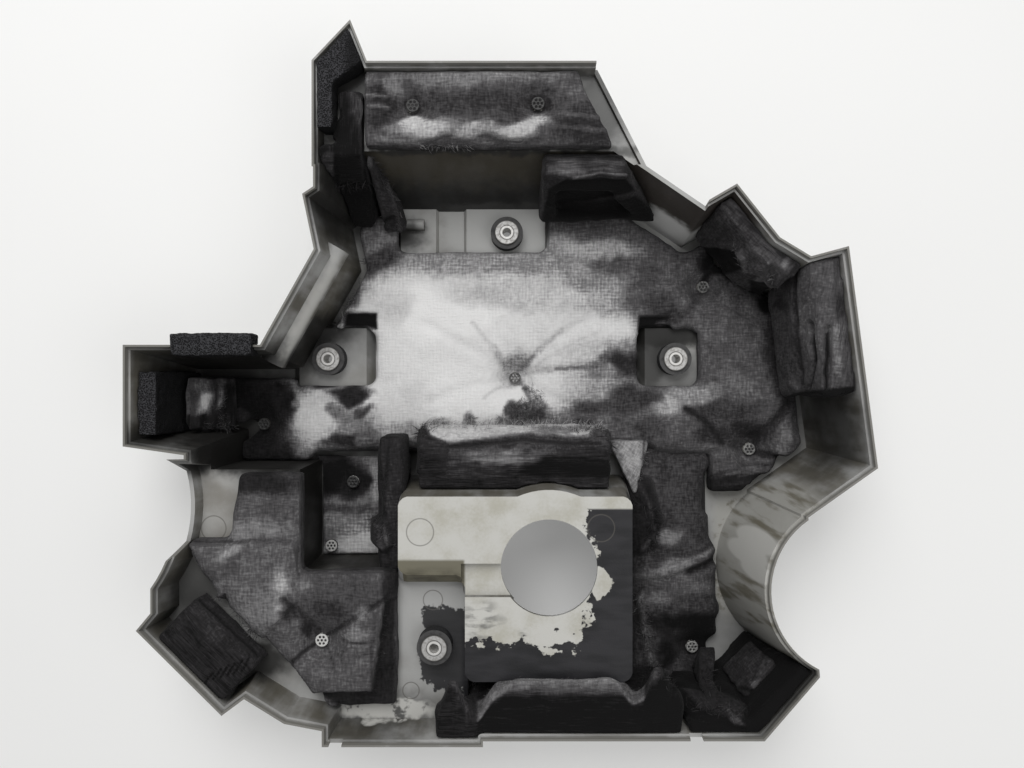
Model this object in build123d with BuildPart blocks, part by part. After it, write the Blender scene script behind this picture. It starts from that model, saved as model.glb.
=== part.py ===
# Engine cover, lying on its outer deck with the underside up: a moulded plastic shell lined with
# fleece-faced foam pads, carried on four rubber grommets with flanged steel sleeves.
# Millimetres. The origin is on the deck's outer face, +Z points to the open side.
import os
from math import cos, radians, sin, tan

from build123d import *

# Moulded wall, height of the rim above the outer deck, and how far below it the floors and low rims lie
wall = 2.8
rim_height = 90.0
shelf_drop = 15.0
plateau_drop = 30.0
well_drop = 10.0
waist_drop = 19.0
shoulder_drop = 11.5
rebate_drop = 4.0
rebate_width = 1.4

# Raised plates under the grommets, and the groove across the back one
boss_level = 11.0
groove_level = 8.0
groove_left = 60.0
groove_right = 36.0

# Draft of the outer skirts, the inner step walls, the well, the ramp and the bosses, in degrees
skirt_draft = 8.0
step_draft = 2.0
well_draft = 4.7
ramp_draft = 22.6
well_step_draft = 36.0
boss_draft = 35.0

# Deck outline at rim height, given as distances from the origin
deck_front = 246.0
foot_right = 174.0
corner_right = 212.0
corner_front = 202.0
scoop_edge = 204.0
scoop_back = 92.0
right_front_x = 252.0
right_front_y = 58.0
right_ear_x = 232.0
right_ear_y = 95.0
ear_notch_x = 206.0
ear_notch_y = 88.0
diagonal_x = 184.5
diagonal_y = 101.0
back_ear_x = 155.0
back_ear_y = 138.0
shoulder_x = 136.0
shoulder_y = 127.0
ramp_right = 67.0
ramp_head = 174.0
ramp_left = 137.0
kink_back = 136.0
kink_x = 144.5
kink_front = 131.0
channel_end_x = 136.5
channel_end_y = 93.0
lobe_root_x = 173.5
lobe_back = 27.0
lobe_left = 268.0
lobe_front = 43.0
waist_x = 226.0
waist_front = 49.0

# Plateau: step line, bay cut into it, and its own outline at rim height
step_line = 66.0
bay_left = 158.0
bay_front = 142.0
plateau_right = 36.0
plateau_overlap = 16.0
plateau_front = 250.0
plateau_foot = 131.0
waist_top = 52.0
wing_notch_x = 239.0
wing_notch_y = 122.0
wing_side = 249.0
wing_back = 128.0
wing_hip = 158.0
wing_tip_x = 259.0
wing_tip_y = 170.0
wing_toe_x = 200.0
wing_toe_y = 228.5
wing_heel_x = 184.5
wing_heel_y = 217.0
wing_foot_x = 157.0
wing_foot_y = 234.0
foot_step = 239.0

# Shelf outline at rim height
shelf_left = 138.0
shelf_right = 98.0
shelf_corner = 61.0
shelf_back = 222.5
shelf_front = 150.0
tower_tip_x = 111.5
tower_tip_y = 251.0
tower_root = 100.0
tower_shoulder = 223.0

# Round scoop in the right skirt and the hollow of the waist, radii at rim height
scoop_x = 238.5
scoop_y = 143.0
scoop_radius = 60.0
waist_hollow_x = 325.0
waist_hollow_y = 86.5
waist_radius = 93.5
waist_dip_run = 10.0

# Filler well: plate edges at well_level, filler hole, ring and ledge
well_left = 80.0
well_right = 84.5
well_back = 79.0
well_step = 134.0
well_waist = 33.0
well_front = 209.0
well_corner_cuts = (4.5, 1.6)
filler_x = 26.0
filler_y = 129.0
filler_radius = 34.0
ring_radius = 54.7
ledge_drop = 6.0
ledge_back = 126.0
ledge_front = 149.5

# Raised bosses under the grommets
back_boss_left = 88.0
back_boss_right = 26.0
back_boss_front = 102.5
side_boss_back = 44.0
side_boss_front = 2.0
left_boss_left = 168.0
left_boss_right = 115.0
right_boss_left = 105.0
right_boss_right = 146.0
peg_x = 78.0
peg_y = 125.0
peg_radius = 4.5
peg_length = 18.0
peg_rise = 3.0

# Grommets and their sleeves, which M6 bolts pass through
back_grommet_x = 4.0
back_grommet_y = 117.5
side_grommet_y = 19.5
left_grommet_x = 142.7
right_grommet_x = 127.0
front_grommet_x = 55.5
front_grommet_y = 188.0
grommet_hole_radius = 8.5
grommet_radius = 12.5
grommet_height = 11.0
grommet_lip_radius = 11.0
grommet_lip = 3.0
sleeve_bore_radius = 3.5
sleeve_wall = 2.0
sleeve_flange_radius = 9.2
sleeve_flange = 1.6
fit_gap = 0.1

# Moulded studs with formed heads
stud_radius = 2.6
stud_sides = 6
head_radius = 5.0
head_sides = 12
head_thickness = 1.8
head_taper = 25.0
stud_gap = 0.4
main_studs = [(2.4, 4.8), (151.3, 76.8), (187.8, -51.5), (-196.5, -31.7)]
bay_studs = [(-126.0, -77.6), (-143.0, -128.0)]
strip_studs = [(142.6, -208.0)]
band_studs = [(-69.4, 194.3), (18.2, 195.7)]
plateau_studs = [(-136.4, -183.8)]

# Rolled channel on the diagonal wall, notches in the front rim
channel_radius = 9.5
channel_drop = 32.0
notch_width = 9.0
notch_depth = 5.0
right_notch_x = 127.5
left_notch_x = 122.0

# Pads: clearance to the shell and to each other, margin of the main pad, thicknesses
pad_gap = 0.3
pad_seam = 1.0
pad_margin = 8.0
boss_slack = 8.0
boss_lap = 1.5
main_pad_thickness = 16.0
pressed_thickness = 5.0
dimple_radius = 15.0
band_thickness = 10.0
plateau_pad_thickness = 13.0
main_pad_front = 53.0
main_tail_left = 156.0
main_tail_front = 84.0
main_toe_left = 214.0
main_toe_front = 61.0
strip_left = 92.0
bay_pad_right = 102.0
bay_pad_back = 57.0
bay_strip_left = 97.0
bay_strip_back = 38.0

# Pad on the plateau, block in its wing
plateau_pad_right = 83.0
plateau_pad_front = 231.0
plateau_pad_overhang = 8.0
plateau_pad_left = 195.0
plateau_pad_back = 63.0
bare_corner_x = 201.0
bare_corner_y = 111.0
waist_pad_left = 229.0
wing_pad_y = 122.0
wing_bend_x = 204.0
wing_bend_y = 153.0
wing_slot_x = 171.0
wing_slot_y = 187.0
wing_block_start = 12.0
wing_block_length = 64.0
wing_block_depth = 34.0
wing_block_height = 26.0

# Pads on the shelf and on the ramp
band_right_margin = 19.0
band_back_margin = 8.0
tower_foam_width = 15.0
tower_foam_front = 176.0
tower_foam_rise = 2.0
felt_right = 104.0
felt_back = 205.0
ramp_pad_thickness = 10.0
flap_right = 84.0
flap_head = 100.0
house_left = 21.5
house_right = 112.0
house_head = 80.0
house_thickness = 20.0
trough_depth = 10.0
trough_margin = 11.0

# Pads on the walls: depth, drop below the rim, and where each starts and stops along its wall
side_pad_depth = 14.0
side_pad_drop = 10.0
side_pad_start = 18.0
side_pad_stop = 63.0
diagonal_pad_depth = 12.0
diagonal_pad_drop = 8.0
right_pad_depth = 24.0
right_pad_drop = 6.0
right_pad_start = 53.0
right_pad_stop = 138.0
front_pad_depth = 14.0
front_pad_drop = 2.0
front_pad_left = 54.0
front_pad_right = 119.0
corner_pad_depth = 10.0
corner_pad_drop = 4.0
corner_pad_left = 123.0
strap_left = 138.0
strap_width = 15.0
strap_thickness = 5.0
strap_drop = 20.0
patch_start = 12.0
patch_stop = 44.0
patch_low = 24.0

# Loose pads: flap in the left lobe, strip on its back rim, roll and flap at the well
left_flap_left = 235.0
left_flap_right = 214.0
left_flap_front = 34.0
left_flap_back = 6.0
left_flap_thickness = 10.0
edge_strip_left = 234.0
edge_strip_right = 178.0
edge_strip_reach = 8.0
edge_strip_drop = 10.0
edge_strip_roof = 5.0
roll_left = 68.0
roll_right = 72.0
roll_back = 34.0
roll_top = 60.0
roll_rounding = 14.0
well_flap_right = 106.0
well_flap_back = 44.0
well_flap_front = 88.0
well_flap_thickness = 7.0

# How far a cutting solid runs past what it cuts
margin = 10.0

# Levels that follow the rim
shelf_level = rim_height - shelf_drop
plateau_level = rim_height - plateau_drop
well_level = rim_height - well_drop
waist_rim = rim_height - waist_drop
shoulder_rim = rim_height - shoulder_drop
rebate_level = rim_height - rebate_drop
channel_level = rim_height - channel_drop
tower_foam_top = rim_height + tower_foam_rise
side_pad_top = rim_height - side_pad_drop
diagonal_pad_top = rim_height - diagonal_pad_drop
right_pad_top = rim_height - right_pad_drop
front_pad_top = rim_height - front_pad_drop
corner_pad_top = rim_height - corner_pad_drop
strap_top = rim_height - strap_drop

on_floor = (Align.CENTER, Align.CENTER, Align.MIN)


def shifted(corners, reach):
    """The outline, anticlockwise, with the edge after each corner moved outwards by its own reach."""
    moved = []
    for i, corner in enumerate(corners):
        before = Vector(*corner) - Vector(*corners[i - 1])
        after = Vector(*corners[(i + 1) % len(corners)]) - Vector(*corner)
        first = Vector(before.Y, -before.X).normalized()
        second = Vector(after.Y, -after.X).normalized()
        turn = first.X * second.Y - first.Y * second.X
        step_x = (reach[i - 1] * second.Y - reach[i] * first.Y) / turn
        step_y = (reach[i] * first.X - reach[i - 1] * second.X) / turn
        moved.append((corner[0] + step_x, corner[1] + step_y))
    return moved


def trimmed(corners, cut):
    """The outline with each corner cut off at the given distance along its two edges."""
    points = []
    for i, corner in enumerate(corners):
        here = Vector(*corner)
        for neighbour in (corners[i - 1], corners[(i + 1) % len(corners)]):
            point = here + (Vector(*neighbour) - here).normalized() * cut
            points.append((point.X, point.Y))
    return points


def frustum(bottom, top):
    """The flat-sided solid between two outlines with the same number of corners."""
    faces = [Face(Wire.make_polygon(bottom)), Face(Wire.make_polygon(top))]
    for i in range(len(bottom)):
        faces.append(Face(Wire.make_polygon([bottom[i - 1], bottom[i], top[i], top[i - 1]])))
    with BuildPart() as body:
        add(Solid(Shell(faces)))
    return body.part


def drafted(corners, slopes, datum, low, high, inset, corner_cuts=()):
    """A block whose outline is true at the datum height, with each wall leaning out by its slope."""
    outlines = []
    for height in (low, high):
        reach = [(height - datum) * tan(radians(s)) - inset / cos(radians(s)) for s in slopes]
        outline = shifted(corners, reach)
        for cut in corner_cuts:
            outline = trimmed(outline, cut)
        outlines.append([(x, y, height) for x, y in outline])
    return frustum(*outlines)


def skirt_cone(x, y, radius, low, high, inset):
    """The drafted cone that hollows a skirt from outside, grown by the inset."""
    lean = tan(radians(skirt_draft))
    grown = radius + inset / cos(radians(skirt_draft))
    with BuildPart(Plane((x, y, low))) as cone:
        Cone(
            grown + (rim_height - low) * lean,
            grown + (rim_height - high) * lean,
            high - low,
            align=on_floor,
        )
    return cone.part


def block(left, right, front, back, low, high):
    """A plain box between the given limits."""
    with BuildPart(Plane((left, front, low))) as box:
        Box(right - left, back - front, high - low, align=Align.MIN)
    return box.part


deck_corners = [
    (-plateau_right, -deck_front),
    (foot_right, -deck_front),
    (corner_right, -corner_front),
    (scoop_edge, -scoop_back),
    (right_front_x, -right_front_y),
    (right_ear_x, right_ear_y),
    (ear_notch_x, ear_notch_y),
    (diagonal_x, diagonal_y),
    (back_ear_x, back_ear_y),
    (shoulder_x, shoulder_y),
    (ramp_right, ramp_head),
    (-ramp_left, ramp_head),
    (-ramp_left, kink_back),
    (-kink_x, kink_front),
    (-channel_end_x, channel_end_y),
    (-lobe_root_x, lobe_back),
    (-lobe_left, lobe_back),
    (-lobe_left, -lobe_front),
    (-waist_x, -waist_front),
    (-waist_x, -step_line),
    (-bay_left, -step_line),
    (-bay_left, -bay_front),
    (-plateau_right, -bay_front),
]
deck_slopes = [skirt_draft] * 10 + [ramp_draft] + [skirt_draft] * 8 + [step_draft] * 4

plateau_corners = [
    (plateau_overlap - plateau_right, -plateau_front),
    (plateau_overlap - plateau_right, plateau_overlap - bay_front),
    (plateau_overlap - bay_left, plateau_overlap - bay_front),
    (plateau_overlap - bay_left, plateau_overlap - step_line),
    (-wing_notch_x, -waist_top),
    (-wing_notch_x, -wing_notch_y),
    (-wing_side, -wing_back),
    (-wing_side, -wing_hip),
    (-wing_tip_x, -wing_tip_y),
    (-wing_toe_x, -wing_toe_y),
    (-wing_heel_x, -wing_heel_y),
    (-wing_foot_x, -wing_foot_y),
    (-plateau_foot, -foot_step),
    (-plateau_foot, -plateau_front),
]

shelf_corners = [
    (-shelf_left, shelf_front),
    (shelf_right, shelf_front),
    (shelf_corner, shelf_back),
    (-tower_root, shelf_back),
    (-tower_tip_x, tower_tip_y),
    (-shelf_left, tower_shoulder),
]

well_corners = [
    (-well_left, -well_back),
    (-well_left, -well_step),
    (-well_waist, -well_step),
    (-well_waist, -well_front),
    (well_right, -well_front),
    (well_right, -well_back),
]
well_slopes = [-well_draft, -well_step_draft, -step_draft, -well_draft, -well_draft, -well_draft]

bosses = [
    (-back_boss_left, back_boss_right, back_boss_front, ramp_head, groove_level),
    (-back_boss_left, -groove_left, back_boss_front, ramp_head, boss_level),
    (-groove_right, back_boss_right, back_boss_front, ramp_head, boss_level),
    (-left_boss_left, -left_boss_right, -side_boss_front, side_boss_back, boss_level),
    (right_boss_left, right_boss_right, -side_boss_front, side_boss_back, boss_level),
]
grommet_seats = {
    "back": (-back_grommet_x, back_grommet_y, boss_level),
    "left": (-left_grommet_x, side_grommet_y, boss_level),
    "right": (right_grommet_x, side_grommet_y, boss_level),
    "front": (-front_grommet_x, -front_grommet_y, plateau_level),
}
stud_height = pressed_thickness + 2 * pad_gap
studs = (
    [(x, y, wall) for x, y in main_studs + bay_studs + strip_studs]
    + [(x, y, shelf_level) for x, y in band_studs]
    + [(x, y, plateau_level) for x, y in plateau_studs]
)


def deck_body(low, high, inset):
    """The deep tray under the deck, with the scoop taken out of its right skirt."""
    with BuildPart() as body:
        add(drafted(deck_corners, deck_slopes, rim_height, low, high, inset))
        add(skirt_cone(scoop_x, -scoop_y, scoop_radius, low, high, inset), mode=Mode.SUBTRACT)
    return body.part


def plateau_body(low, high, inset):
    """The shallow tray at the front left, with the hollow of the waist taken out."""
    slopes = [skirt_draft] * len(plateau_corners)
    hollow = skirt_cone(-waist_hollow_x, -waist_hollow_y, waist_radius, low, high, inset)
    with BuildPart() as body:
        add(drafted(plateau_corners, slopes, rim_height, low, high, inset))
        add(hollow, mode=Mode.SUBTRACT)
    return body.part


def shelf_body(low, high, inset):
    """The shallow tray of the back shelf and its tower corner."""
    return drafted(shelf_corners, [skirt_draft] * len(shelf_corners), rim_height, low, high, inset)


def well_body(low, high, inset):
    """The filler well with the ring round its hole, within the deck's walls, less the ledge's recess."""
    lean = tan(radians(well_draft))
    ledge_left = -well_waist - wall - inset
    ledge_floor = well_level - ledge_drop - inset
    recess = block(ledge_left, filler_x, -ledge_front - inset, -ledge_back + inset, ledge_floor, well_level)
    with BuildPart() as body:
        add(drafted(well_corners, well_slopes, well_level, low, high, inset, well_corner_cuts))
        with Locations((filler_x, -filler_y, low)):
            Cone(
                ring_radius - inset + (well_level - low) * lean,
                ring_radius - inset + (well_level - high) * lean,
                high - low,
                align=on_floor,
            )
        add(deck_body(low, high, inset), mode=Mode.INTERSECT)
        add(recess, mode=Mode.SUBTRACT)
    return body.part


def boss_body(boss, low, above, inset):
    """One raised boss, within the deck's walls, up to the given height above its plate's face."""
    left, right, front, back, level = boss
    corners = [(left, front), (right, front), (right, back), (left, back)]
    with BuildPart() as body:
        add(drafted(corners, [-boss_draft] * len(corners), level, low, level + above, inset))
        add(deck_body(low, level + above, inset), mode=Mode.INTERSECT)
    return body.part


def channel_bar(radius, spare):
    """A round bar along the diagonal wall, its axis on the wall's outer face."""
    back = Vector(-channel_end_x, channel_end_y)
    front = Vector(-lobe_root_x, lobe_back)
    along = (front - back).normalized()
    inwards = Vector(-along.Y, along.X)
    lean = (rim_height - channel_level) * tan(radians(skirt_draft))
    start = back + inwards * lean - along * spare
    with BuildPart() as bar:
        with BuildSketch(Plane((start.X, start.Y, channel_level), z_dir=along)):
            Circle(radius)
        extrude(amount=(front - back).length + 2 * spare)
    return bar.part


def channel_body(radius):
    """The part of the rolled channel that stands inside the wall."""
    with BuildPart() as body:
        add(channel_bar(radius, margin))
        add(deck_body(wall, rim_height, 0), mode=Mode.INTERSECT)
    return body.part


# The moulded shell: three trays of different depth run into each other, with the filler well,
# the grommet bosses, the rolled channel and the studs
with BuildPart() as cover_shell:
    add(deck_body(0, rim_height, 0))
    add(shelf_body(shelf_level - wall, rim_height, 0))
    add(plateau_body(plateau_level - wall, rim_height, 0))
    add(deck_body(wall, rim_height + margin, wall), mode=Mode.SUBTRACT)
    add(shelf_body(shelf_level, rim_height + margin, wall), mode=Mode.SUBTRACT)
    add(plateau_body(plateau_level, rim_height + margin, wall), mode=Mode.SUBTRACT)
    # rebate along the inside of the rim
    rebate_wall = wall - rebate_width
    add(deck_body(rebate_level, rim_height + margin, rebate_wall), mode=Mode.SUBTRACT)
    add(shelf_body(rebate_level, rim_height + margin, rebate_wall), mode=Mode.SUBTRACT)
    add(plateau_body(rebate_level, rim_height + margin, rebate_wall), mode=Mode.SUBTRACT)
    # rolled channel, open on the outside
    add(channel_body(channel_radius))
    add(channel_bar(channel_radius - wall, -channel_radius), mode=Mode.SUBTRACT)
    # filler well and bosses, hollow from the deck side
    add(well_body(0, well_level, 0))
    add(well_body(-margin, well_level - wall, wall), mode=Mode.SUBTRACT)
    for boss in bosses:
        add(boss_body(boss, 0, 0, 0))
    for boss in bosses:
        add(boss_body(boss, -margin, -wall, wall), mode=Mode.SUBTRACT)
    with Locations((-peg_x, peg_y, boss_level + peg_rise)):
        Cylinder(peg_radius, peg_length, rotation=(0, 90, 0))
    with Locations((filler_x, -filler_y, well_level)):
        Cylinder(filler_radius, 2 * (ledge_drop + wall) + margin, mode=Mode.SUBTRACT)
    for x, y, level in grommet_seats.values():
        with Locations((x, y, level)):
            Cylinder(grommet_hole_radius, 3 * wall, mode=Mode.SUBTRACT)
    # studs with their formed heads
    for x, y, floor in studs:
        with BuildSketch(Plane((x, y, floor - wall / 2))):
            RegularPolygon(stud_radius, stud_sides)
        extrude(amount=stud_height + wall / 2)
        with BuildSketch(Plane((x, y, floor + stud_height))):
            RegularPolygon(head_radius, head_sides)
        extrude(amount=head_thickness, taper=head_taper)
    # the waist's low rim, the shoulder's low rim and the notches in the front rim
    with BuildSketch(Plane.YZ.offset(-waist_hollow_x)):
        Polygon(
            (-waist_top, rim_height + margin),
            (-waist_top, rim_height),
            (-waist_top - waist_dip_run, waist_rim),
            (-wing_notch_y + waist_dip_run, waist_rim),
            (-wing_notch_y, rim_height),
            (-wing_notch_y, rim_height + margin),
            align=None,
        )
    extrude(amount=waist_hollow_x - waist_x + 2 * margin, mode=Mode.SUBTRACT)
    shoulder_left = shelf_corner - wall
    shoulder_back = shelf_back + margin
    shoulder_front = shoulder_y - margin
    add(
        block(shoulder_left, shoulder_x, shoulder_front, shoulder_back, shoulder_rim, rim_height),
        mode=Mode.SUBTRACT,
    )
    for x, y in ((right_notch_x, -deck_front), (-left_notch_x, -plateau_front)):
        with Locations((x, y, rim_height)):
            Box(notch_width, 2 * margin, 2 * notch_depth, mode=Mode.SUBTRACT)

# The space inside the shell that pads may fill
with BuildPart() as room:
    add(deck_body(wall + pad_gap, rim_height + margin, wall + pad_gap))
    add(shelf_body(shelf_level + pad_gap, rim_height + margin, wall + pad_gap))
    add(plateau_body(plateau_level + pad_gap, rim_height + margin, wall + pad_gap))
    add(well_body(0, well_level + pad_gap, -pad_gap), mode=Mode.SUBTRACT)
    add(channel_body(channel_radius + pad_gap), mode=Mode.SUBTRACT)
    for boss in bosses:
        add(boss_body(boss, 0, pad_gap, -pad_gap), mode=Mode.SUBTRACT)

# Grommets: a lip under the plate, a neck through it and a thick collar above it
sleeve_radius = sleeve_bore_radius + sleeve_wall
grommet_foot = -wall - grommet_lip


def grommet_at(x, y, level):
    """A rubber grommet seated in the plate whose inner face is at the given level."""
    bore = sleeve_radius + fit_gap
    neck = grommet_hole_radius - fit_gap
    with BuildPart() as grommet:
        with BuildSketch(Plane((x, y, level), x_dir=(1, 0, 0), z_dir=(0, -1, 0))):
            with BuildLine():
                Polyline(
                    (bore, grommet_foot),
                    (grommet_lip_radius, grommet_foot),
                    (grommet_lip_radius, -wall),
                    (neck, -wall),
                    (neck, 0),
                    (grommet_radius, 0),
                    (grommet_radius, grommet_height),
                    (bore, grommet_height),
                    close=True,
                )
            make_face()
        revolve(axis=Axis((x, y, level), (0, 0, 1)))
    return grommet.part


def sleeve_at(x, y, level):
    """A flanged steel sleeve pushed into a grommet from the open side."""
    with BuildPart() as sleeve:
        with Locations((x, y, level + grommet_foot)):
            Cylinder(sleeve_radius, grommet_height - grommet_foot, align=on_floor)
        with Locations((x, y, level + grommet_height)):
            Cylinder(sleeve_flange_radius, sleeve_flange, align=on_floor)
        with Locations((x, y, level)):
            Cylinder(sleeve_bore_radius, 4 * grommet_height, mode=Mode.SUBTRACT)
    return sleeve.part


# Flat pads on the deck, pressed down by the studs' heads
main_top = wall + pad_gap + main_pad_thickness
pressed_top = pad_gap + pressed_thickness
side_open_front = boss_lap - side_boss_front
side_open_back = side_boss_back - boss_lap
boss_openings = [
    (-back_boss_left - boss_lap, back_boss_right + boss_lap, back_boss_front + boss_lap, ramp_head),
    (-left_boss_left - boss_lap, boss_slack - left_boss_right, side_open_front, side_open_back),
    (right_boss_left - boss_slack + boss_lap, right_boss_right - boss_lap, side_open_front, side_open_back),
]


def ring(x, y, height, radius):
    """The corners of a stud head's outline at the given height, grown to the given radius."""
    turns = [radians(360 * i / head_sides) for i in range(head_sides)]
    return [(x + radius * cos(turn), y + radius * sin(turn), height) for turn in turns]


def stud_seat(x, y, floor, top):
    """The hole and the hollow that a stud and its head leave in a pad."""
    pressed = floor + pressed_top
    with BuildPart() as seat:
        with BuildSketch(Plane((x, y, floor))):
            RegularPolygon(stud_radius + stud_gap, stud_sides)
        extrude(amount=top - floor)
        if top > pressed:
            add(frustum(ring(x, y, pressed, head_radius + stud_gap), ring(x, y, top, dimple_radius)))
    return seat.part


with BuildPart() as main_pad:
    add(block(-lobe_left, right_front_x, -main_pad_front, ramp_head, wall, main_top))
    add(block(main_tail_left, right_front_x, -main_tail_front, -main_pad_front, wall, main_top))
    add(deck_body(wall, main_top, wall + pad_margin), mode=Mode.INTERSECT)
    add(block(-main_toe_left, -bay_left, -main_toe_front, -lobe_front, wall, main_top))
    for left, right, front, back in boss_openings:
        add(block(left, right, front, back, wall, main_top), mode=Mode.SUBTRACT)
    add(room.part, mode=Mode.INTERSECT)
    for x, y in main_studs:
        add(stud_seat(x, y, wall, main_top), mode=Mode.SUBTRACT)

strip_right = main_tail_left - pad_seam
strip_back = -main_pad_front - pad_seam
with BuildPart() as strip_pad:
    add(block(strip_left, strip_right, -deck_front, strip_back, wall, main_top))
    add(room.part, mode=Mode.INTERSECT)
    for x, y in strip_studs:
        add(stud_seat(x, y, wall, main_top), mode=Mode.SUBTRACT)

with BuildPart() as bay_pad:
    add(block(-bay_left, -bay_pad_right, -bay_front, -bay_pad_back, wall, wall + pressed_top))
    add(room.part, mode=Mode.INTERSECT)
    for x, y in bay_studs:
        add(stud_seat(x, y, wall, wall + pressed_top), mode=Mode.SUBTRACT)

# Foam strip that stands in the bay against the well and laps on to the main pad
with BuildPart() as bay_strip:
    with BuildSketch(Plane.YZ.offset(-bay_strip_left)):
        Polygon(
            (-bay_front, wall),
            (strip_back, wall),
            (strip_back, main_top + pad_gap),
            (-bay_strip_back, main_top + pad_gap),
            (-bay_strip_back, plateau_level),
            (-bay_front, plateau_level),
            align=None,
        )
    extrude(amount=bay_strip_left - well_left)
    add(room.part, mode=Mode.INTERSECT)

# Pad on the plateau, lapping over the edges of the bay, and the block in the wing
plateau_pad_top = plateau_level + pad_gap + plateau_pad_thickness
with BuildPart() as plateau_pad:
    with BuildSketch(Plane.XY.offset(plateau_level)):
        Polygon(
            (-plateau_pad_right, -plateau_pad_front),
            (-plateau_pad_right, plateau_pad_overhang - bay_front),
            (plateau_pad_overhang - bay_left, plateau_pad_overhang - bay_front),
            (plateau_pad_overhang - bay_left, -plateau_pad_back),
            (-plateau_pad_left, -plateau_pad_back),
            (-bare_corner_x, -bare_corner_y),
            (-waist_pad_left, -bare_corner_y),
            (-waist_pad_left, -wing_pad_y),
            (-wing_bend_x, -wing_bend_y),
            (-wing_slot_x, -wing_slot_y),
            (-plateau_foot, -plateau_pad_front),
            align=None,
        )
    extrude(amount=plateau_pad_top - plateau_level)
    add(room.part, mode=Mode.INTERSECT)
    for x, y in plateau_studs:
        add(stud_seat(x, y, plateau_level, plateau_pad_top), mode=Mode.SUBTRACT)


def wall_pad(first, last, start, stop, low, high, near, far):
    """A slab along the wall from the first corner to the last, between two depths off its inner face."""
    along = (Vector(*last) - Vector(*first)).normalized()
    inwards = Vector(-along.Y, along.X)
    runs = ((start, near), (stop, near), (stop, far), (start, far))
    outlines = []
    for height in (low, high):
        lean = (rim_height - height) * tan(radians(skirt_draft)) + wall / cos(radians(skirt_draft))
        corners = [Vector(*first) + along * run + inwards * (lean + depth) for run, depth in runs]
        outlines.append([(corner.X, corner.Y, height) for corner in corners])
    with BuildPart() as slab:
        add(frustum(*outlines))
        add(room.part, mode=Mode.INTERSECT)
    return slab.part


def length_between(first, last):
    """Distance between two corners of an outline."""
    return (Vector(*last) - Vector(*first)).length


with BuildPart() as wing_block:
    wing_low = plateau_level + pad_gap
    wing_stop = wing_block_start + wing_block_length
    add(
        wall_pad(
            plateau_corners[8],
            plateau_corners[9],
            wing_block_start,
            wing_stop,
            wing_low,
            wing_low + wing_block_height,
            pad_gap,
            wing_block_depth,
        )
    )

# Pads on the shelf
band_top = shelf_level + pad_gap + band_thickness
ramp_lip = ramp_head - (rim_height - shelf_level) * tan(radians(ramp_draft)) - wall
shelf_lean = (shelf_right - shelf_corner) / (shelf_back - shelf_front)
band_back = shelf_back - band_back_margin
band_right = shelf_corner - band_right_margin + band_back_margin * shelf_lean
with BuildPart() as band_pad:
    with BuildSketch(Plane.XY.offset(shelf_level)):
        Polygon(
            (pad_seam - felt_right, ramp_lip),
            (band_right + (band_back - ramp_lip) * shelf_lean, ramp_lip),
            (band_right, band_back),
            (pad_seam - felt_right, band_back),
            align=None,
        )
    extrude(amount=band_top - shelf_level)
    add(room.part, mode=Mode.INTERSECT)
    for x, y in band_studs:
        add(stud_seat(x, y, shelf_level, band_top), mode=Mode.SUBTRACT)

foam_right = tower_foam_width - shelf_left
with BuildPart() as tower_foam:
    with BuildSketch(Plane.XY.offset(shelf_level)):
        Polygon(
            (-shelf_left, tower_foam_front),
            (foam_right, tower_foam_front),
            (foam_right, tower_shoulder - tower_foam_width),
            (-tower_root, tower_shoulder),
            (-tower_root, tower_tip_y),
            (-shelf_left, tower_tip_y),
            align=None,
        )
    extrude(amount=tower_foam_top - shelf_level)
    add(room.part, mode=Mode.INTERSECT)

# Pads lying on the ramp, which start above the main pad
ramp_foot = ramp_head - (rim_height - wall) * tan(radians(ramp_draft)) - wall / cos(radians(ramp_draft))
ramp_plane = Plane(
    (0, ramp_foot, wall),
    x_dir=(1, 0, 0),
    z_dir=(0, -cos(radians(ramp_draft)), sin(radians(ramp_draft))),
)
ramp_start = (main_top + pad_gap - wall) / cos(radians(ramp_draft))
ramp_stop = (shelf_level - wall) / cos(radians(ramp_draft))

with BuildPart() as tower_felt:
    with BuildSketch(ramp_plane):
        Polygon(
            (-shelf_left, ramp_start),
            (-felt_right, ramp_start),
            (-felt_right, ramp_stop + margin),
            (-shelf_left, ramp_stop + margin),
            align=None,
        )
    extrude(amount=ramp_pad_thickness)
    felt_top = shelf_level + ramp_pad_thickness
    add(block(foam_right + pad_seam, -felt_right, ramp_lip, felt_back, shelf_level, felt_top))
    add(room.part, mode=Mode.INTERSECT)
    add(
        block(
            -shelf_left, foam_right + pad_gap, tower_foam_front - pad_gap, shelf_back, shelf_level, rim_height
        ),
        mode=Mode.SUBTRACT,
    )

with BuildPart() as corner_flap:
    with BuildSketch(ramp_plane):
        Polygon(
            (pad_seam - felt_right, ramp_start),
            (-flap_right, ramp_start),
            (-flap_head, ramp_stop),
            (pad_seam - felt_right, ramp_stop),
            align=None,
        )
    extrude(amount=ramp_pad_thickness)
    add(room.part, mode=Mode.INTERSECT)

with BuildPart() as house_block:
    with BuildSketch(ramp_plane):
        Polygon(
            (house_left, ramp_start),
            (house_right, ramp_start),
            (house_head, ramp_stop),
            (house_left, ramp_stop),
            align=None,
        )
    extrude(amount=house_thickness)
    with BuildSketch(ramp_plane.offset(house_thickness)):
        Polygon(
            (house_left + trough_margin, ramp_start + trough_margin),
            (house_head + trough_margin, ramp_start + trough_margin),
            (house_head - trough_margin, (ramp_start + ramp_stop) / 2 + trough_margin),
            (house_left + trough_margin, (ramp_start + ramp_stop) / 2 + trough_margin),
            align=None,
        )
    extrude(amount=-trough_depth, mode=Mode.SUBTRACT)
    add(room.part, mode=Mode.INTERSECT)

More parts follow.
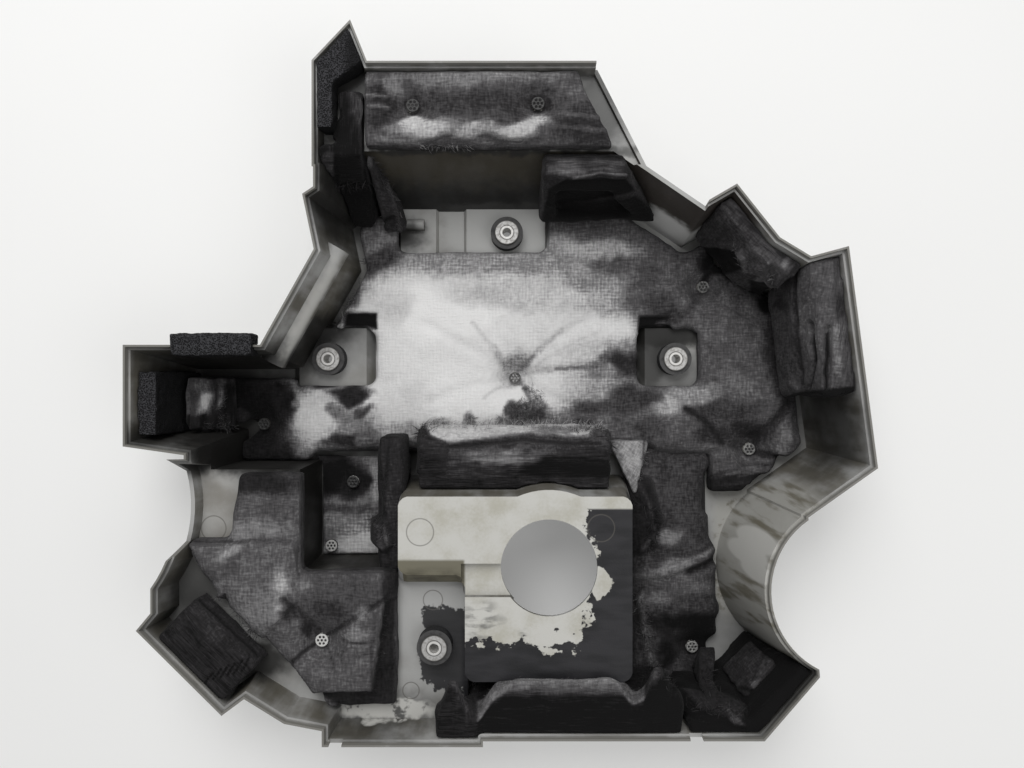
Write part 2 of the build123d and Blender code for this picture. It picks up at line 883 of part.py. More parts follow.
# Pads that line the walls, standing on the flat pads where there are any
on_main = main_top + pad_gap
with BuildPart() as left_wall_pad:
    add(
        wall_pad(
            deck_corners[16],
            deck_corners[17],
            side_pad_start,
            side_pad_stop,
            on_main,
            side_pad_top,
            pad_gap,
            side_pad_depth,
        )
    )

with BuildPart() as diagonal_wall_pad:
    first, middle, last = deck_corners[6:9]
    stop = length_between(first, middle) + diagonal_pad_depth
    add(wall_pad(first, middle, 0, stop, on_main, diagonal_pad_top, pad_gap, diagonal_pad_depth))
    start = -diagonal_pad_depth
    stop = length_between(middle, last)
    add(wall_pad(middle, last, start, stop, on_main, diagonal_pad_top, pad_gap, diagonal_pad_depth))

with BuildPart() as right_wall_pad:
    add(
        wall_pad(
            deck_corners[4],
            deck_corners[5],
            right_pad_start,
            right_pad_stop,
            on_main,
            right_pad_top,
            pad_gap,
            right_pad_depth,
        )
    )

strip_keep_out = block(
    strip_left - pad_gap, strip_right + pad_gap, -deck_front, strip_back + pad_gap, 0, main_top + pad_gap
)
deck_low = wall + pad_gap
with BuildPart() as front_wall_pad:
    first, last = deck_corners[0], deck_corners[1]
    stop = plateau_right + front_pad_right
    add(wall_pad(first, last, wall, stop, deck_low, front_pad_top, pad_gap, front_pad_depth))
    first, last = plateau_corners[-1], plateau_corners[0]
    start = plateau_foot - front_pad_left
    stop = length_between(first, last)
    low = plateau_level + pad_gap
    add(wall_pad(first, last, start, stop, low, front_pad_top, pad_gap, front_pad_depth))
    add(strip_keep_out, mode=Mode.SUBTRACT)

with BuildPart() as corner_wall_pad:
    first, last = deck_corners[0], deck_corners[1]
    start = plateau_right + corner_pad_left
    stop = length_between(first, last)
    add(wall_pad(first, last, start, stop, deck_low, corner_pad_top, pad_gap, corner_pad_depth))
    first, last = deck_corners[1], deck_corners[2]
    stop = length_between(first, last)
    add(wall_pad(first, last, 0, stop, deck_low, corner_pad_top, pad_gap, corner_pad_depth))
    add(strip_keep_out, mode=Mode.SUBTRACT)

# Two scraps laid on the corner's pad
scrap_near = corner_pad_depth + pad_gap
scrap_far = scrap_near + strap_thickness
with BuildPart() as corner_strap:
    start = plateau_right + strap_left
    stop = start + strap_width
    add(wall_pad(deck_corners[0], deck_corners[1], start, stop, deck_low, strap_top, scrap_near, scrap_far))
    add(strip_keep_out, mode=Mode.SUBTRACT)

with BuildPart() as corner_patch:
    first, last = deck_corners[1], deck_corners[2]
    add(wall_pad(first, last, patch_start, patch_stop, patch_low, strap_top, scrap_near, scrap_far))

# Flap and rim strip of the left lobe
with BuildPart() as left_flap:
    add(
        block(
            -left_flap_left,
            -left_flap_right,
            -left_flap_front,
            left_flap_back,
            on_main,
            on_main + left_flap_thickness,
        )
    )
    add(room.part, mode=Mode.INTERSECT)

with BuildPart() as edge_strip:
    strip_low = rim_height - edge_strip_drop
    strip_high = rim_height + edge_strip_roof
    front = lobe_back - edge_strip_reach
    back = lobe_back + edge_strip_reach
    add(block(-edge_strip_left, -edge_strip_right, front, back, strip_low, strip_high))
    slot_back = lobe_back + pad_gap
    slot_front = lobe_back - wall - pad_gap - edge_strip_drop * tan(radians(skirt_draft))
    add(
        block(-lobe_left, -lobe_root_x, slot_front, slot_back, strip_low, rim_height + pad_gap),
        mode=Mode.SUBTRACT,
    )

# Roll of foam against the well's back wall, and the flap beside it
with BuildPart() as well_roll:
    add(block(-roll_left, roll_right, -well_back, -roll_back, on_main, roll_top))
    fillet(well_roll.edges().filter_by(Axis.X).group_by(Axis.Y)[-1].sort_by(Axis.Z)[-1], roll_rounding)
    add(room.part, mode=Mode.INTERSECT)

with BuildPart() as well_flap:
    with BuildSketch(Plane.XY.offset(on_main)):
        Polygon(
            (roll_right + 2 * pad_seam, -well_flap_back),
            ((well_right + well_flap_right) / 2, -well_flap_front),
            (well_flap_right, -well_flap_back),
            align=None,
        )
    extrude(amount=well_flap_thickness)
    add(room.part, mode=Mode.INTERSECT)

pieces = {
    "cover_shell": cover_shell.part,
    "main_pad": main_pad.part,
    "strip_pad": strip_pad.part,
    "bay_pad": bay_pad.part,
    "bay_strip": bay_strip.part,
    "plateau_pad": plateau_pad.part,
    "wing_block": wing_block.part,
    "band_pad": band_pad.part,
    "tower_foam": tower_foam.part,
    "tower_felt": tower_felt.part,
    "corner_flap": corner_flap.part,
    "house_block": house_block.part,
    "left_wall_pad": left_wall_pad.part,
    "diagonal_wall_pad": diagonal_wall_pad.part,
    "right_wall_pad": right_wall_pad.part,
    "front_wall_pad": front_wall_pad.part,
    "corner_wall_pad": corner_wall_pad.part,
    "corner_strap": corner_strap.part,
    "corner_patch": corner_patch.part,
    "left_flap": left_flap.part,
    "edge_strip": edge_strip.part,
    "well_roll": well_roll.part,
    "well_flap": well_flap.part,
}
for name, seat in grommet_seats.items():
    pieces[f"grommet_{name}"] = grommet_at(*seat)
    pieces[f"sleeve_{name}"] = sleeve_at(*seat)

os.makedirs("parts", exist_ok=True)
for name, piece in pieces.items():
    piece.label = name
    export_step(piece, f"parts/{name}.step")
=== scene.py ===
import math

import bmesh
import bpy
import numpy as np
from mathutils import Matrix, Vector
from mathutils.bvhtree import BVHTree


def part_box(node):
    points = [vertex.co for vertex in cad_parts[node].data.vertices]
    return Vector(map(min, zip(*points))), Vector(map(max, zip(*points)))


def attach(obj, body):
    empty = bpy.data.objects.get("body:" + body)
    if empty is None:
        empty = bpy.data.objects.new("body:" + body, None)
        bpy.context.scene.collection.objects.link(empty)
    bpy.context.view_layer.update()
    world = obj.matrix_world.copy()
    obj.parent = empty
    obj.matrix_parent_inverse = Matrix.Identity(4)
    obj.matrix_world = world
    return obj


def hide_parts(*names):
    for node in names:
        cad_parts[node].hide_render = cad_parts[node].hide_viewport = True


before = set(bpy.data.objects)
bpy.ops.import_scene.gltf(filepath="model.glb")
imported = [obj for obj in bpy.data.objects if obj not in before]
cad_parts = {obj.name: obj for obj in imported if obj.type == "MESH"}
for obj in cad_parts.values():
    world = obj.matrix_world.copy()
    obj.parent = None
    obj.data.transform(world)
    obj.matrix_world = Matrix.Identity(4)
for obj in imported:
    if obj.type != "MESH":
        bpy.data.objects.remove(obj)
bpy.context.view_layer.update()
scene = bpy.context.scene


# The cover is one injection moulding in light grey plastic. It lies on its outer face with the underside
# up, so the inside shows oil haze on the walls, a brown ramp at the back, white chalky splashes in the
# scoop, and a worn black film on the filler well.
class Socket:
    """A value in a material's node tree: sums on it add Math nodes, and node() adds any other node."""

    def __init__(self, tree, socket):
        self.tree = tree
        self.socket = socket

    def node(self, kind, settings, inputs, output=0):
        made = self.tree.nodes.new(kind)
        for name, value in settings.items():
            if name == "stops":
                elements = made.color_ramp.elements
                for stop, colour in value[1:-1]:
                    elements.new(stop)
                for element, (stop, colour) in zip(elements, value):
                    element.position = stop
                    element.color = (*colour, 1)
            else:
                setattr(made, name, value)
        for name, value in inputs.items():
            if isinstance(value, Socket):
                self.tree.links.new(value.socket, made.inputs[name])
            else:
                made.inputs[name].default_value = value
        return Socket(self.tree, made.outputs[output])

    def sum(self, operation, first, second):
        return self.node("ShaderNodeMath", {"operation": operation}, {0: first, 1: second})

    def __add__(self, other):
        return self.sum("ADD", self, other)

    def __radd__(self, other):
        return self.sum("ADD", other, self)

    def __sub__(self, other):
        return self.sum("SUBTRACT", self, other)

    def __rsub__(self, other):
        return self.sum("SUBTRACT", other, self)

    def __mul__(self, other):
        return self.sum("MULTIPLY", self, other)

    def __rmul__(self, other):
        return self.sum("MULTIPLY", other, self)


def new_finish(name):
    """A material, its shader, and the object coordinates that its pattern is laid on."""
    material = bpy.data.materials.new(name)
    material.use_nodes = True
    tree = material.node_tree
    coordinates = tree.nodes.new("ShaderNodeTexCoord")
    return material, tree.nodes["Principled BSDF"], Socket(tree, coordinates.outputs["Object"])


def feed(shader, **values):
    """Links values to the shader's sockets, which are named with underscores for spaces."""
    for name, value in values.items():
        value.tree.links.new(value.socket, shader.inputs[name.replace("_", " ")])


def rise(value, low, high):
    """0 below the low value, 1 above the high one, with a soft step between."""
    limits = {"Value": value, "From Min": low, "From Max": high}
    return value.node("ShaderNodeMapRange", {"interpolation_type": "SMOOTHSTEP"}, limits)


def between(value, low, high, edge):
    """1 from the low value to the high one, with soft ends."""
    return rise(value, low - edge, low + edge) * (1 - rise(value, high - edge, high + edge))


def vector_sum(operation, first, second, output="Vector"):
    """A sum on vectors, either of which may be three plain numbers."""
    whole = first if isinstance(first, Socket) else second
    return whole.node("ShaderNodeVectorMath", {"operation": operation}, {0: first, 1: second}, output)


def cloud(place, scale, detail=4.0, stretch=(1, 1, 1), output="Fac"):
    """Soft noise about 0.5, in cells per metre, drawn out along an axis by a small stretch number."""
    inputs = {"Vector": vector_sum("MULTIPLY", place, stretch), "Scale": scale, "Detail": detail}
    return place.node("ShaderNodeTexNoise", {}, inputs, output)


def blend(mask, under, over):
    """One colour laid over another by a mask. A plain colour is given as three numbers."""
    colours = [c if isinstance(c, Socket) else (*c, 1) for c in (under, over)]
    inputs = {0: mask, 6: colours[0], 7: colours[1]}
    return mask.node("ShaderNodeMix", {"data_type": "RGBA"}, inputs, 2)


def axes(vector):
    """The three numbers of a vector."""
    return [vector.node("ShaderNodeSeparateXYZ", {}, {0: vector}, axis) for axis in "XYZ"]


def blot(place, centre, radii, edge=0.5):
    """A soft-edged round or oval stain, in millimetres."""
    moved = vector_sum("SUBTRACT", place, [c / 1000 for c in centre])
    sized = vector_sum("MULTIPLY", moved, [1000 / r for r in radii])
    reach = place.node("ShaderNodeVectorMath", {"operation": "LENGTH"}, {0: sized}, "Value")
    return 1 - rise(reach, 1 - edge, 1 + edge)


def bump(height, depth, strength=1.0):
    """Relief of the given depth in metres."""
    inputs = {"Height": height, "Distance": depth, "Strength": strength}
    return height.node("ShaderNodeBump", {}, inputs, "Normal")


moulding, shader, place = new_finish("grey_moulding")
facing = place.node("ShaderNodeNewGeometry", {}, {}, "Normal")
x, y, z = axes(place)
facing_x, facing_y, facing_z = axes(facing)
to_middle = vector_sum("SUBTRACT", (0, -0.02, 0.3), place)
inside = rise(vector_sum("DOT_PRODUCT", facing, to_middle, "Value"), -0.01, 0.01)
level_face = rise(facing_z.node("ShaderNodeMath", {"operation": "ABSOLUTE"}, {0: facing_z}), 0.3, 0.8)
upright = 1 - level_face
patches = cloud(place, 22, 5)
streaks = cloud(place, 70, 4, (1, 1, 0.12))
grain = cloud(place, 900, 2)
swirl = vector_sum("SUBTRACT", cloud(place, 90, 5, output="Color"), (0.5, 0.5, 0.5))
frayed = vector_sum("ADD", place, vector_sum("MULTIPLY", swirl, (0.016, 0.016, 0.016)))

# light grey plastic, hazed in soft patches, with runs of brown oil down the inner walls
colour = blend(rise(patches, 0.35, 0.7), (0.36, 0.36, 0.352), (0.28, 0.278, 0.268))
oil = inside * upright * rise(streaks + patches, 0.8, 1.2) * (1 - rise(z, 0.080, 0.088) * 0.6)
colour = blend(oil * 0.8, colour, (0.075, 0.066, 0.046))
grime = inside * upright * rise(cloud(place, 55, 6), 0.42, 0.68)
colour = blend(grime * 0.55, colour, (0.10, 0.092, 0.07))
dust = inside * level_face * rise(patches, 0.5, 0.75)
colour = blend(dust * 0.4, colour, (0.17, 0.16, 0.14))

# the ramp at the back: olive-brown oil, painted dark as painted shade on a face turned from the lamp, and
# black at its foot, where that painted shade is deepest; and the shoulder beside it
ramp = inside * rise(0 - facing_y, 0.5, 0.8) * between(y, 0.125, 0.172, 0.004) * (1 - rise(x, 0.07, 0.08))
foot_shade_line = rise(z + swirl.node("ShaderNodeSeparateXYZ", {}, {0: swirl}, "X") * 0.03, 0.025, 0.06)
ramp_oil_and_shade_tone = blend(foot_shade_line, (0.005, 0.005, 0.005), (0.036, 0.031, 0.021))
colour = blend(ramp * 0.96, colour, ramp_oil_and_shade_tone)
# the shoulder's wall, turned from the lamp: brown-grey grime with a paler patch, darkened as painted shade
shoulder = inside * upright * rise(x, 0.062, 0.066) * rise(y, 0.1, 0.12) * rise(0 - facing_y, 0.1, 0.4)
shoulder_grime_and_shade_tone = blend(blot(frayed, (119, 147, 62), (9, 9, 20)), (0.034, 0.028, 0.024), (0.12, 0.105, 0.095))
colour = blend(shoulder * 0.95, colour, shoulder_grime_and_shade_tone)
colour = blend(shoulder * blot(place, (133, 134, 70), (6, 6, 9), 0.2), colour, (0.02, 0.014, 0.012))
# a painted pool of light on the shoulder's low plate, which lies in the shade of the wall above it
colour = blend(shoulder * blot(frayed, (128, 130, 16), (34, 24, 26), 0.2), colour, (0.58, 0.58, 0.57))

# soot, and painted shadow, beside the grommets, in the left lobe, on the right wall and in the corners: the
# painted shadow lies under the pads' overhanging edges, on the bosses and the bay's walls, and in a thin line
# under the shelf's band;
# the centre and the radii of each blot in millimetres, and its strength
soot_and_shadow_blots = (
    ((-158, 42, 18), (34, 16, 40), 0.95),
    ((-170, 20, 12), (22, 26, 40), 0.6),
    ((114, 42, 14), (38, 13, 26), 0.98),
    ((108, 18, 12), (16, 26, 22), 0.9),
    ((136, 8, 11), (16, 16, 12), 0.45),
    ((62, 194, 75), (20, 34, 8), 0.75),
    ((-96, -238, 40), (44, 14, 60), 0.75),
    ((118, 38, 11), (36, 9, 8), 1.0),
    ((-20, 222, 82), (110, 8, 7), 0.45),
    ((-205, 20, 45), (66, 16, 60), 1.0),
    ((-262, -40, 50), (22, 14, 60), 0.9),
    ((-214, -48, 45), (50, 16, 60), 1.0),
    ((-138, 155, 50), (14, 46, 60), 0.92),
    ((-148, -92, 40), (20, 52, 45), 1.0),
    ((-118, -52, 42), (48, 12, 45), 1.0),
    ((-110, -134, 38), (48, 9, 45), 0.95),
    ((-165, -58, 40), (46, 12, 45), 1.0),
    ((-20, 165.5, 75), (120, 4.5, 5), 0.95),
    ((-250, -150, 50), (36, 50, 50), 0.55),
    ((-182, -200, 60), (22, 14, 12), 0.95),
    ((-232, -142, 60), (26, 26, 12), 0.6),
    ((-113, 207, 76), (24, 26, 10), 0.95),
    ((-196, -222, 45), (34, 20, 45), 0.4),
    ((-86, 116, 12), (20, 12, 12), 0.95),
    ((-228, -20, 10), (44, 62, 40), 0.96),
    ((-222, -60, 34), (44, 12, 40), 0.9),
    ((-140, 130, 40), (30, 36, 50), 0.85),
    ((240, -30, 44), (30, 40, 40), 0.85),
    ((208, 22, 20), (30, 48, 40), 0.8),
    ((-150, -105, 20), (30, 50, 30), 0.85),
    ((-88, -62, 20), (22, 20, 50), 0.95),
    ((95, -150, 20), (18, 90, 60), 0.85),
    ((-205, -160, 66), (30, 26, 16), 0.55),
    ((200, -205, 60), (60, 40, 60), 0.9),
    ((205, -222, 89), (60, 50, 8), 0.5),
    ((-115, 60, 8), (30, 40, 20), 0.5),
)
for centre, radii, strength in soot_and_shadow_blots:
    colour = blend(blot(frayed, centre, radii) * inside * strength, colour, (0.011, 0.0105, 0.0095))

# the back boss, the plates at the shoulder and the bare plate of the plateau, wiped clean
wiped = blot(frayed, (-5, 125, 11), (60, 30, 9), 0.3) + blot(frayed, (132, 134, 2), (22, 14, 6), 0.3)
colour = blend(wiped * level_face, colour, (0.37, 0.37, 0.36))
bare = blot(frayed, (-216, -98, 60), (24, 34, 8), 0.2) * level_face
colour = blend(bare, colour, blend(rise(patches, 0.4, 0.6), (0.32, 0.315, 0.3), (0.22, 0.21, 0.19)))

# the well's plates, clean, and painted nearly white as painted light where they lie high and open to the
# lamp; and its step
ragged = cloud(place, 60, 6) + cloud(place, 320, 4) * 0.35
brushed = cloud(place, 160, 5, (0.25, 1, 1)) - 0.5
well_plate = between(x, -0.0825, 0.087, 0.001) * between(y, -0.2125, -0.0765, 0.001)
ring_plate = blot(place, (26, -129, 80), (56, 56, 200), 0.01)
well_box = 1 - (1 - well_plate) * (1 - ring_plate)
well = rise(z, 0.0725, 0.0735) * rise(facing_z, 0.8, 0.95) * well_box
stains = cloud(place, 48, 7) + cloud(place, 500, 3) * 0.25
plate_clean_and_lit_tone = blend(rise(stains, 0.5, 0.9), (0.5, 0.495, 0.465), (0.39, 0.378, 0.325))
colour = blend(well, colour, plate_clean_and_lit_tone)
# the step is painted darker: brown streaks of stain, over painted shade on its slanted face
step = between(x, -0.09, -0.0335, 0.001) * between(y, -0.16, -0.1235, 0.0012) * rise(z, 0.0605, 0.0615)
step_stain_and_shade_tone = blend(rise(brushed + streaks, 0.35, 0.7), (0.13, 0.12, 0.085), (0.06, 0.054, 0.036))
colour = blend(step * inside, colour, blend(rise(0 - y, 0.126, 0.136), (0.14, 0.13, 0.095), step_stain_and_shade_tone))

# worn black film: over the right and the front of the well, on its back wall, and round the front grommet
in_well = rise(z, 0.055, 0.0575) * between(x, -0.036, 0.095, 0.002) * between(y, -0.236, -0.072, 0.002)
film_right = rise(x + ragged * 0.045, 0.0835, 0.0855) * rise(0 - y, 0.0868, 0.0885)
film_front = rise(ragged * 0.05 + brushed * 0.03 - y, 0.2145, 0.2175)
bite = blot(frayed, (62, -140, 80), (7, 13, 30), 0.06)
film = in_well * (1 - (1 - film_right * (1 - bite)) * (1 - film_front))
smears = blot(frayed, (-22, -166, 80), (13, 13, 30), 0.5) + blot(frayed, (8, -181, 80), (7, 7, 30), 0.5)
film = film + in_well * smears * rise(brushed + ragged * 0.4, 0.22, 0.4) * 0.6
wall_wipe = blot(frayed, (-52, -80, 66), (34, 20, 9), 0.6) * rise(streaks, 0.42, 0.6)
back_wall = rise(facing_y, 0.5, 0.8) * between(y, -0.095, -0.065, 0.005) * rise(x, -0.1, -0.095)
back_wall = back_wall * (1 - rise(z, 0.0775, 0.0795)) * (1 - wall_wipe * 0.7) * rise(ragged, 0.2, 0.6)
beside = rise(facing_x, 0.5, 0.8) * rise(x, 0.07, 0.08) * in_well
plate = between(x, -0.087, -0.034, 0.001) * between(y, -0.234, -0.142, 0.002) * (1 - rise(z, 0.066, 0.068))
plate_film = plate * rise(x + ragged * 0.02, -0.052, -0.0505) * rise(ragged * 0.03 - y, 0.180, 0.182)
plate_film = plate_film * (1 - rise(ragged * 0.04 - y, 0.246, 0.248))
film = 1 - (1 - film) * (1 - plate_film * 0.95) * (1 - back_wall * 0.1) * (1 - beside * 0.9)
film_tone = blend(rise(brushed + patches, 0.3, 0.7), (0.010, 0.010, 0.0115), (0.021, 0.0205, 0.023))
colour = blend(film, colour, film_tone)

# white chalky splashes on the scoop and along the plateau's front, and a painted highlight on the rolled
# channel
chalk_and_highlight = blot(place, (177, -113, 62), (9, 8, 40), 0.12) + blot(place, (172, -124, 55), (9, 8, 40), 0.12)
chalk_and_highlight = chalk_and_highlight + blot(place, (176, -134, 60), (6, 7, 40), 0.12)
channel_highlight = blot(frayed, (-152, 62, 58), (36, 50, 12), 0.3) * rise(facing_z, 0.1, 0.6)
front_scum = blot(frayed, (-92, -236, 60), (34, 8, 14), 0.2) * rise(ragged, 0.5, 0.6)
scoop_wall = blot(place, (200, -135, 45), (66, 62, 90), 0.12) * inside * rise(x, 0.158, 0.166)
runs = cloud(place, 110, 5, (1, 1, 0.1))
scoop_tone = blend(rise(runs, 0.5, 0.66), (0.36, 0.355, 0.33), (0.15, 0.138, 0.105))
colour = blend(scoop_wall * 0.85, colour, scoop_tone)
chalk_and_highlight = inside * (chalk_and_highlight + channel_highlight * 0.85 + front_scum)
colour = blend(chalk_and_highlight, colour, (0.47, 0.465, 0.44))
rim = rise(z, 0.0865, 0.0885)
colour = blend(rim * rise(streaks, 0.15, 0.4) * 0.9, colour, (0.165, 0.16, 0.145))

# round marks of the mould's ejector pins
rings = []
for ring_x, ring_y, radius, level in (
    (-64.5, -104, 9.5, 80),
    (62.5, -101, 9.5, 80),
    (-57.5, -157, 7, 60),
    (-73.5, -223, 6, 60),
    (-217, -105, 9, 60),
):
    inner = blot(place, (ring_x, ring_y, level), (radius - 0.4, radius - 0.4, 30), 0.04)
    outer = blot(place, (ring_x, ring_y, level), (radius + 0.4, radius + 0.4, 30), 0.04)
    rings.append((outer - inner) * rise(facing_z, 0.8, 0.95))
ring_mark = sum(rings[1:], rings[0])
colour = blend(ring_mark * 0.6, colour, (0.08, 0.075, 0.065))

feed(
    shader,
    Base_Color=colour,
    Roughness=rise(patches + oil * 0.2 + grain * 0.2, 0.2, 1.2) * 0.4 + 0.36,
    Normal=bump(grain * 0.3 + patches + ring_mark * -0.4 + film * 0.2, 0.0006, 0.5),
)
shader.inputs["Specular IOR Level"].default_value = 0.35
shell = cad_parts["cover_shell"]
shell.data.materials.clear()
shell.data.materials.append(moulding)


# Four rubber grommets are pressed into the plates. They are turned-looking mouldings with fine rings
# round the collar, grey with dust on top.
rubber, shader, place = new_finish("dusty_rubber")
facing_z = axes(place.node("ShaderNodeNewGeometry", {}, {}, "Normal"))[2]
height = axes(place)[2]
ring_lines = height.node("ShaderNodeMath", {"operation": "SINE"}, {0: height * 2600.0})
dust = cloud(place, 240, 5)
dusty = rise(dust + facing_z * 0.3 + ring_lines * 0.1, 0.55, 0.95)
feed(
    shader,
    Base_Color=blend(dusty * 0.4, (0.009, 0.009, 0.01), (0.11, 0.107, 0.105)),
    Roughness=dust * 0.3 + 0.55,
    Normal=bump(ring_lines * (1 - rise(facing_z, 0.3, 0.6)) * 0.5 + dust * 0.4, 0.0006),
)

# A flanged steel sleeve, turned and zinc plated, stands in each grommet and takes the bolt. The plating
# has gone dull, with a worn bright ring where the bolt's head sat.
zinc, shader, place = new_finish("dull_zinc")
stain = cloud(place, 520, 6)
scratch = cloud(place, 1500, 3, (1, 0.2, 1))
mounts = ("back", "left", "right", "front")
off_axis = None
for side in mounts:
    low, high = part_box(f"sleeve_{side}")
    axis = [(low[0] + high[0]) / 2, (low[1] + high[1]) / 2, 0]
    away = vector_sum("DISTANCE", vector_sum("MULTIPLY", place, (1, 1, 0)), axis, "Value")
    off_axis = away if off_axis is None else away.sum("MINIMUM", away, off_axis)
colour = blend(rise(stain, 0.4, 0.7), (0.50, 0.495, 0.485), (0.31, 0.30, 0.285))
colour = blend(1 - rise(off_axis, 0.0046, 0.0052), colour, (0.66, 0.65, 0.63))
grooves = between(off_axis, 0.0052, 0.0058, 0.0002) + rise(off_axis, 0.0084, 0.0090)
feed(
    shader,
    Base_Color=blend(grooves * 0.85, colour, (0.07, 0.066, 0.06)),
    Roughness=stain * 0.3 + scratch * 0.15 + 0.36,
    Metallic=0.7 - rise(stain, 0.5, 0.75) * 0.4,
    Normal=bump(stain + scratch * 0.3, 0.00004),
)
for side in mounts:
    for node, finish in ((f"grommet_{side}", rubber), (f"sleeve_{side}", zinc)):
        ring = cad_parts[node]
        ring.data.materials.clear()
        ring.data.materials.append(finish)


# The main pad lies on the deck: foam faced with a white waffle-woven fleece, welded down at four studs
# and black with soot but for its middle. Its folds run from the studs.
def settle(piece):
    """Makes a piece's modifiers part of its mesh."""
    graph = bpy.context.evaluated_depsgraph_get()
    made = bpy.data.meshes.new_from_object(piece.evaluated_get(graph))
    piece.modifiers.clear()
    old = piece.data
    piece.data = made
    bpy.data.meshes.remove(old)


def foam_skin(name, node, voxel, rounds):
    """A pad's solid as one closed skin of even quads with worn edges."""
    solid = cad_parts[node].data.copy()
    solid.materials.clear()
    welded = bmesh.new()
    welded.from_mesh(solid)
    bmesh.ops.remove_doubles(welded, verts=welded.verts, dist=1e-5)
    welded.to_mesh(solid)
    welded.free()
    pad = bpy.data.objects.new(name, solid)
    scene.collection.objects.link(pad)
    remesh = pad.modifiers.new("skin", "REMESH")
    remesh.mode = "VOXEL"
    remesh.voxel_size = voxel
    worn = pad.modifiers.new("worn", "SMOOTH")
    worn.iterations = rounds
    settle(pad)
    return pad


def points_of(pad):
    """A pad's points and their normals, in metres."""
    points = np.empty(len(pad.data.vertices) * 3)
    pad.data.vertices.foreach_get("co", points)
    normals = np.empty(len(pad.data.vertices) * 3)
    pad.data.vertex_normals.foreach_get("vector", normals)
    return points.reshape(-1, 3), normals.reshape(-1, 3)


def move_points(pad, points):
    """Puts a pad's points in new places."""
    pad.data.vertices.foreach_set("co", points.ravel())
    pad.data.update()


def puff(pad, glued, pressure=4.0, most=0.0025, frames=20):
    """Lets the foam push its skin out, held where it is glued down, and no further than the most."""
    before, normals = points_of(pad)
    held = (normals @ np.array(glued, float).T).max(axis=1) > 0.5
    group = pad.vertex_groups.new(name="held")
    group.add(np.flatnonzero(held).tolist(), 1.0, "REPLACE")
    cloth = pad.modifiers.new("puff", "CLOTH")
    cloth.settings.use_pressure = True
    cloth.settings.uniform_pressure_force = pressure
    cloth.settings.vertex_group_mass = "held"
    cloth.settings.effector_weights.gravity = 0
    for moment in range(1, frames + 1):
        scene.frame_set(moment)
    settle(pad)
    pad.vertex_groups.clear()
    travel = points_of(pad)[0] - before
    length = np.linalg.norm(travel, axis=1, keepdims=True)
    move_points(pad, before + travel * np.minimum(1, most / np.maximum(length, 1e-9)))
    scene.frame_set(1)


def refine(pad, levels=1):
    """Splits a pad's quads for the folds."""
    finer = pad.modifiers.new("finer", "SUBSURF")
    finer.levels = levels
    finer.render_levels = levels
    settle(pad)


def mottle(points, size, seed):
    """Smooth noise between -1 and 1, in cells of the given size."""
    scaled = points / size + seed * 7.31
    cell = np.floor(scaled).astype(np.int64)
    part = scaled - cell
    part = part * part * (3 - 2 * part)
    total = np.zeros(len(points))
    for corner in np.ndindex(2, 2, 2):
        mixed = (cell + corner) @ np.array([374761393, 668265263, 2147483647])
        mixed = (mixed ^ (mixed >> 13)) * 1274126177
        value = ((mixed ^ (mixed >> 16)) & 65535) / 32767.5 - 1
        total += value * np.prod(np.where(corner, part, 1 - part), axis=1)
    return total


view_height = 0.620
view_depth = 770
view_middle = (512, 384)


def seen(points):
    """Where points lie in a plan drawn from above, as the camera sees them."""
    scale = view_depth / (view_height - points[:, 2])
    across = view_middle[0] + points[:, 0] * scale
    return np.stack([across, view_middle[1] - points[:, 1] * scale], axis=1)


def soft_step(value):
    """0 below 0, 1 above 1, and a soft step between."""
    value = np.clip(value, 0, 1)
    return value * value * (3 - 2 * value)


def distance(plan, line):
    """How far each point of the plan is from a line of points."""
    nearest = np.full(len(plan), 1e9)
    for start, end in zip(line, line[1:]):
        start, run = np.array(start, float), np.subtract(end, start).astype(float)
        along = np.clip((plan - start) @ run / (run @ run), 0, 1)
        nearest = np.minimum(nearest, np.linalg.norm(plan - start - along[:, None] * run, axis=1))
    return nearest


def dab(x, y, radius_x, radius_y, turn=0):
    """A mark on the plan, which paints soot, painted shade or a painted highlight, or lifts the pad: an oval
    with a soft, ragged edge, turned anticlockwise.
    """
    cosine, sine = math.cos(math.radians(turn)), math.sin(math.radians(turn))

    def cover(plan, ragged):
        across = (ragged[:, 0] - x) * cosine - (ragged[:, 1] - y) * sine
        up = (ragged[:, 0] - x) * sine + (ragged[:, 1] - y) * cosine
        return soft_step((1.35 - np.hypot(across / radius_x, up / radius_y)) / 0.85)

    return cover


def fold(width, *line):
    """A crease or a ridge along a line on the plan."""
    return lambda plan, ragged: soft_step(1 - distance(plan, line) / width)


def patch(edge, *corners):
    """The inside of an outline on the plan, with an edge that is soft over the given width."""

    def cover(plan, ragged):
        loop = corners + corners[:1]
        inside = np.zeros(len(plan), bool)
        for (start_x, start_y), (end_x, end_y) in zip(loop, loop[1:]):
            crosses = (start_y > plan[:, 1]) != (end_y > plan[:, 1])
            slope = (end_x - start_x) / (end_y - start_y or 1e-9)
            inside ^= crosses & (plan[:, 0] < start_x + (plan[:, 1] - start_y) * slope)
        reach = distance(plan, loop)
        return soft_step(0.5 + np.where(inside, reach, -reach) / edge)

    return cover


def stored(place, name, output="Fac"):
    """A value that is kept on the points of the mesh."""
    return place.node("ShaderNodeAttribute", {"attribute_name": name}, {}, output)


fleece, shader, place = new_finish("sooty_fleece")
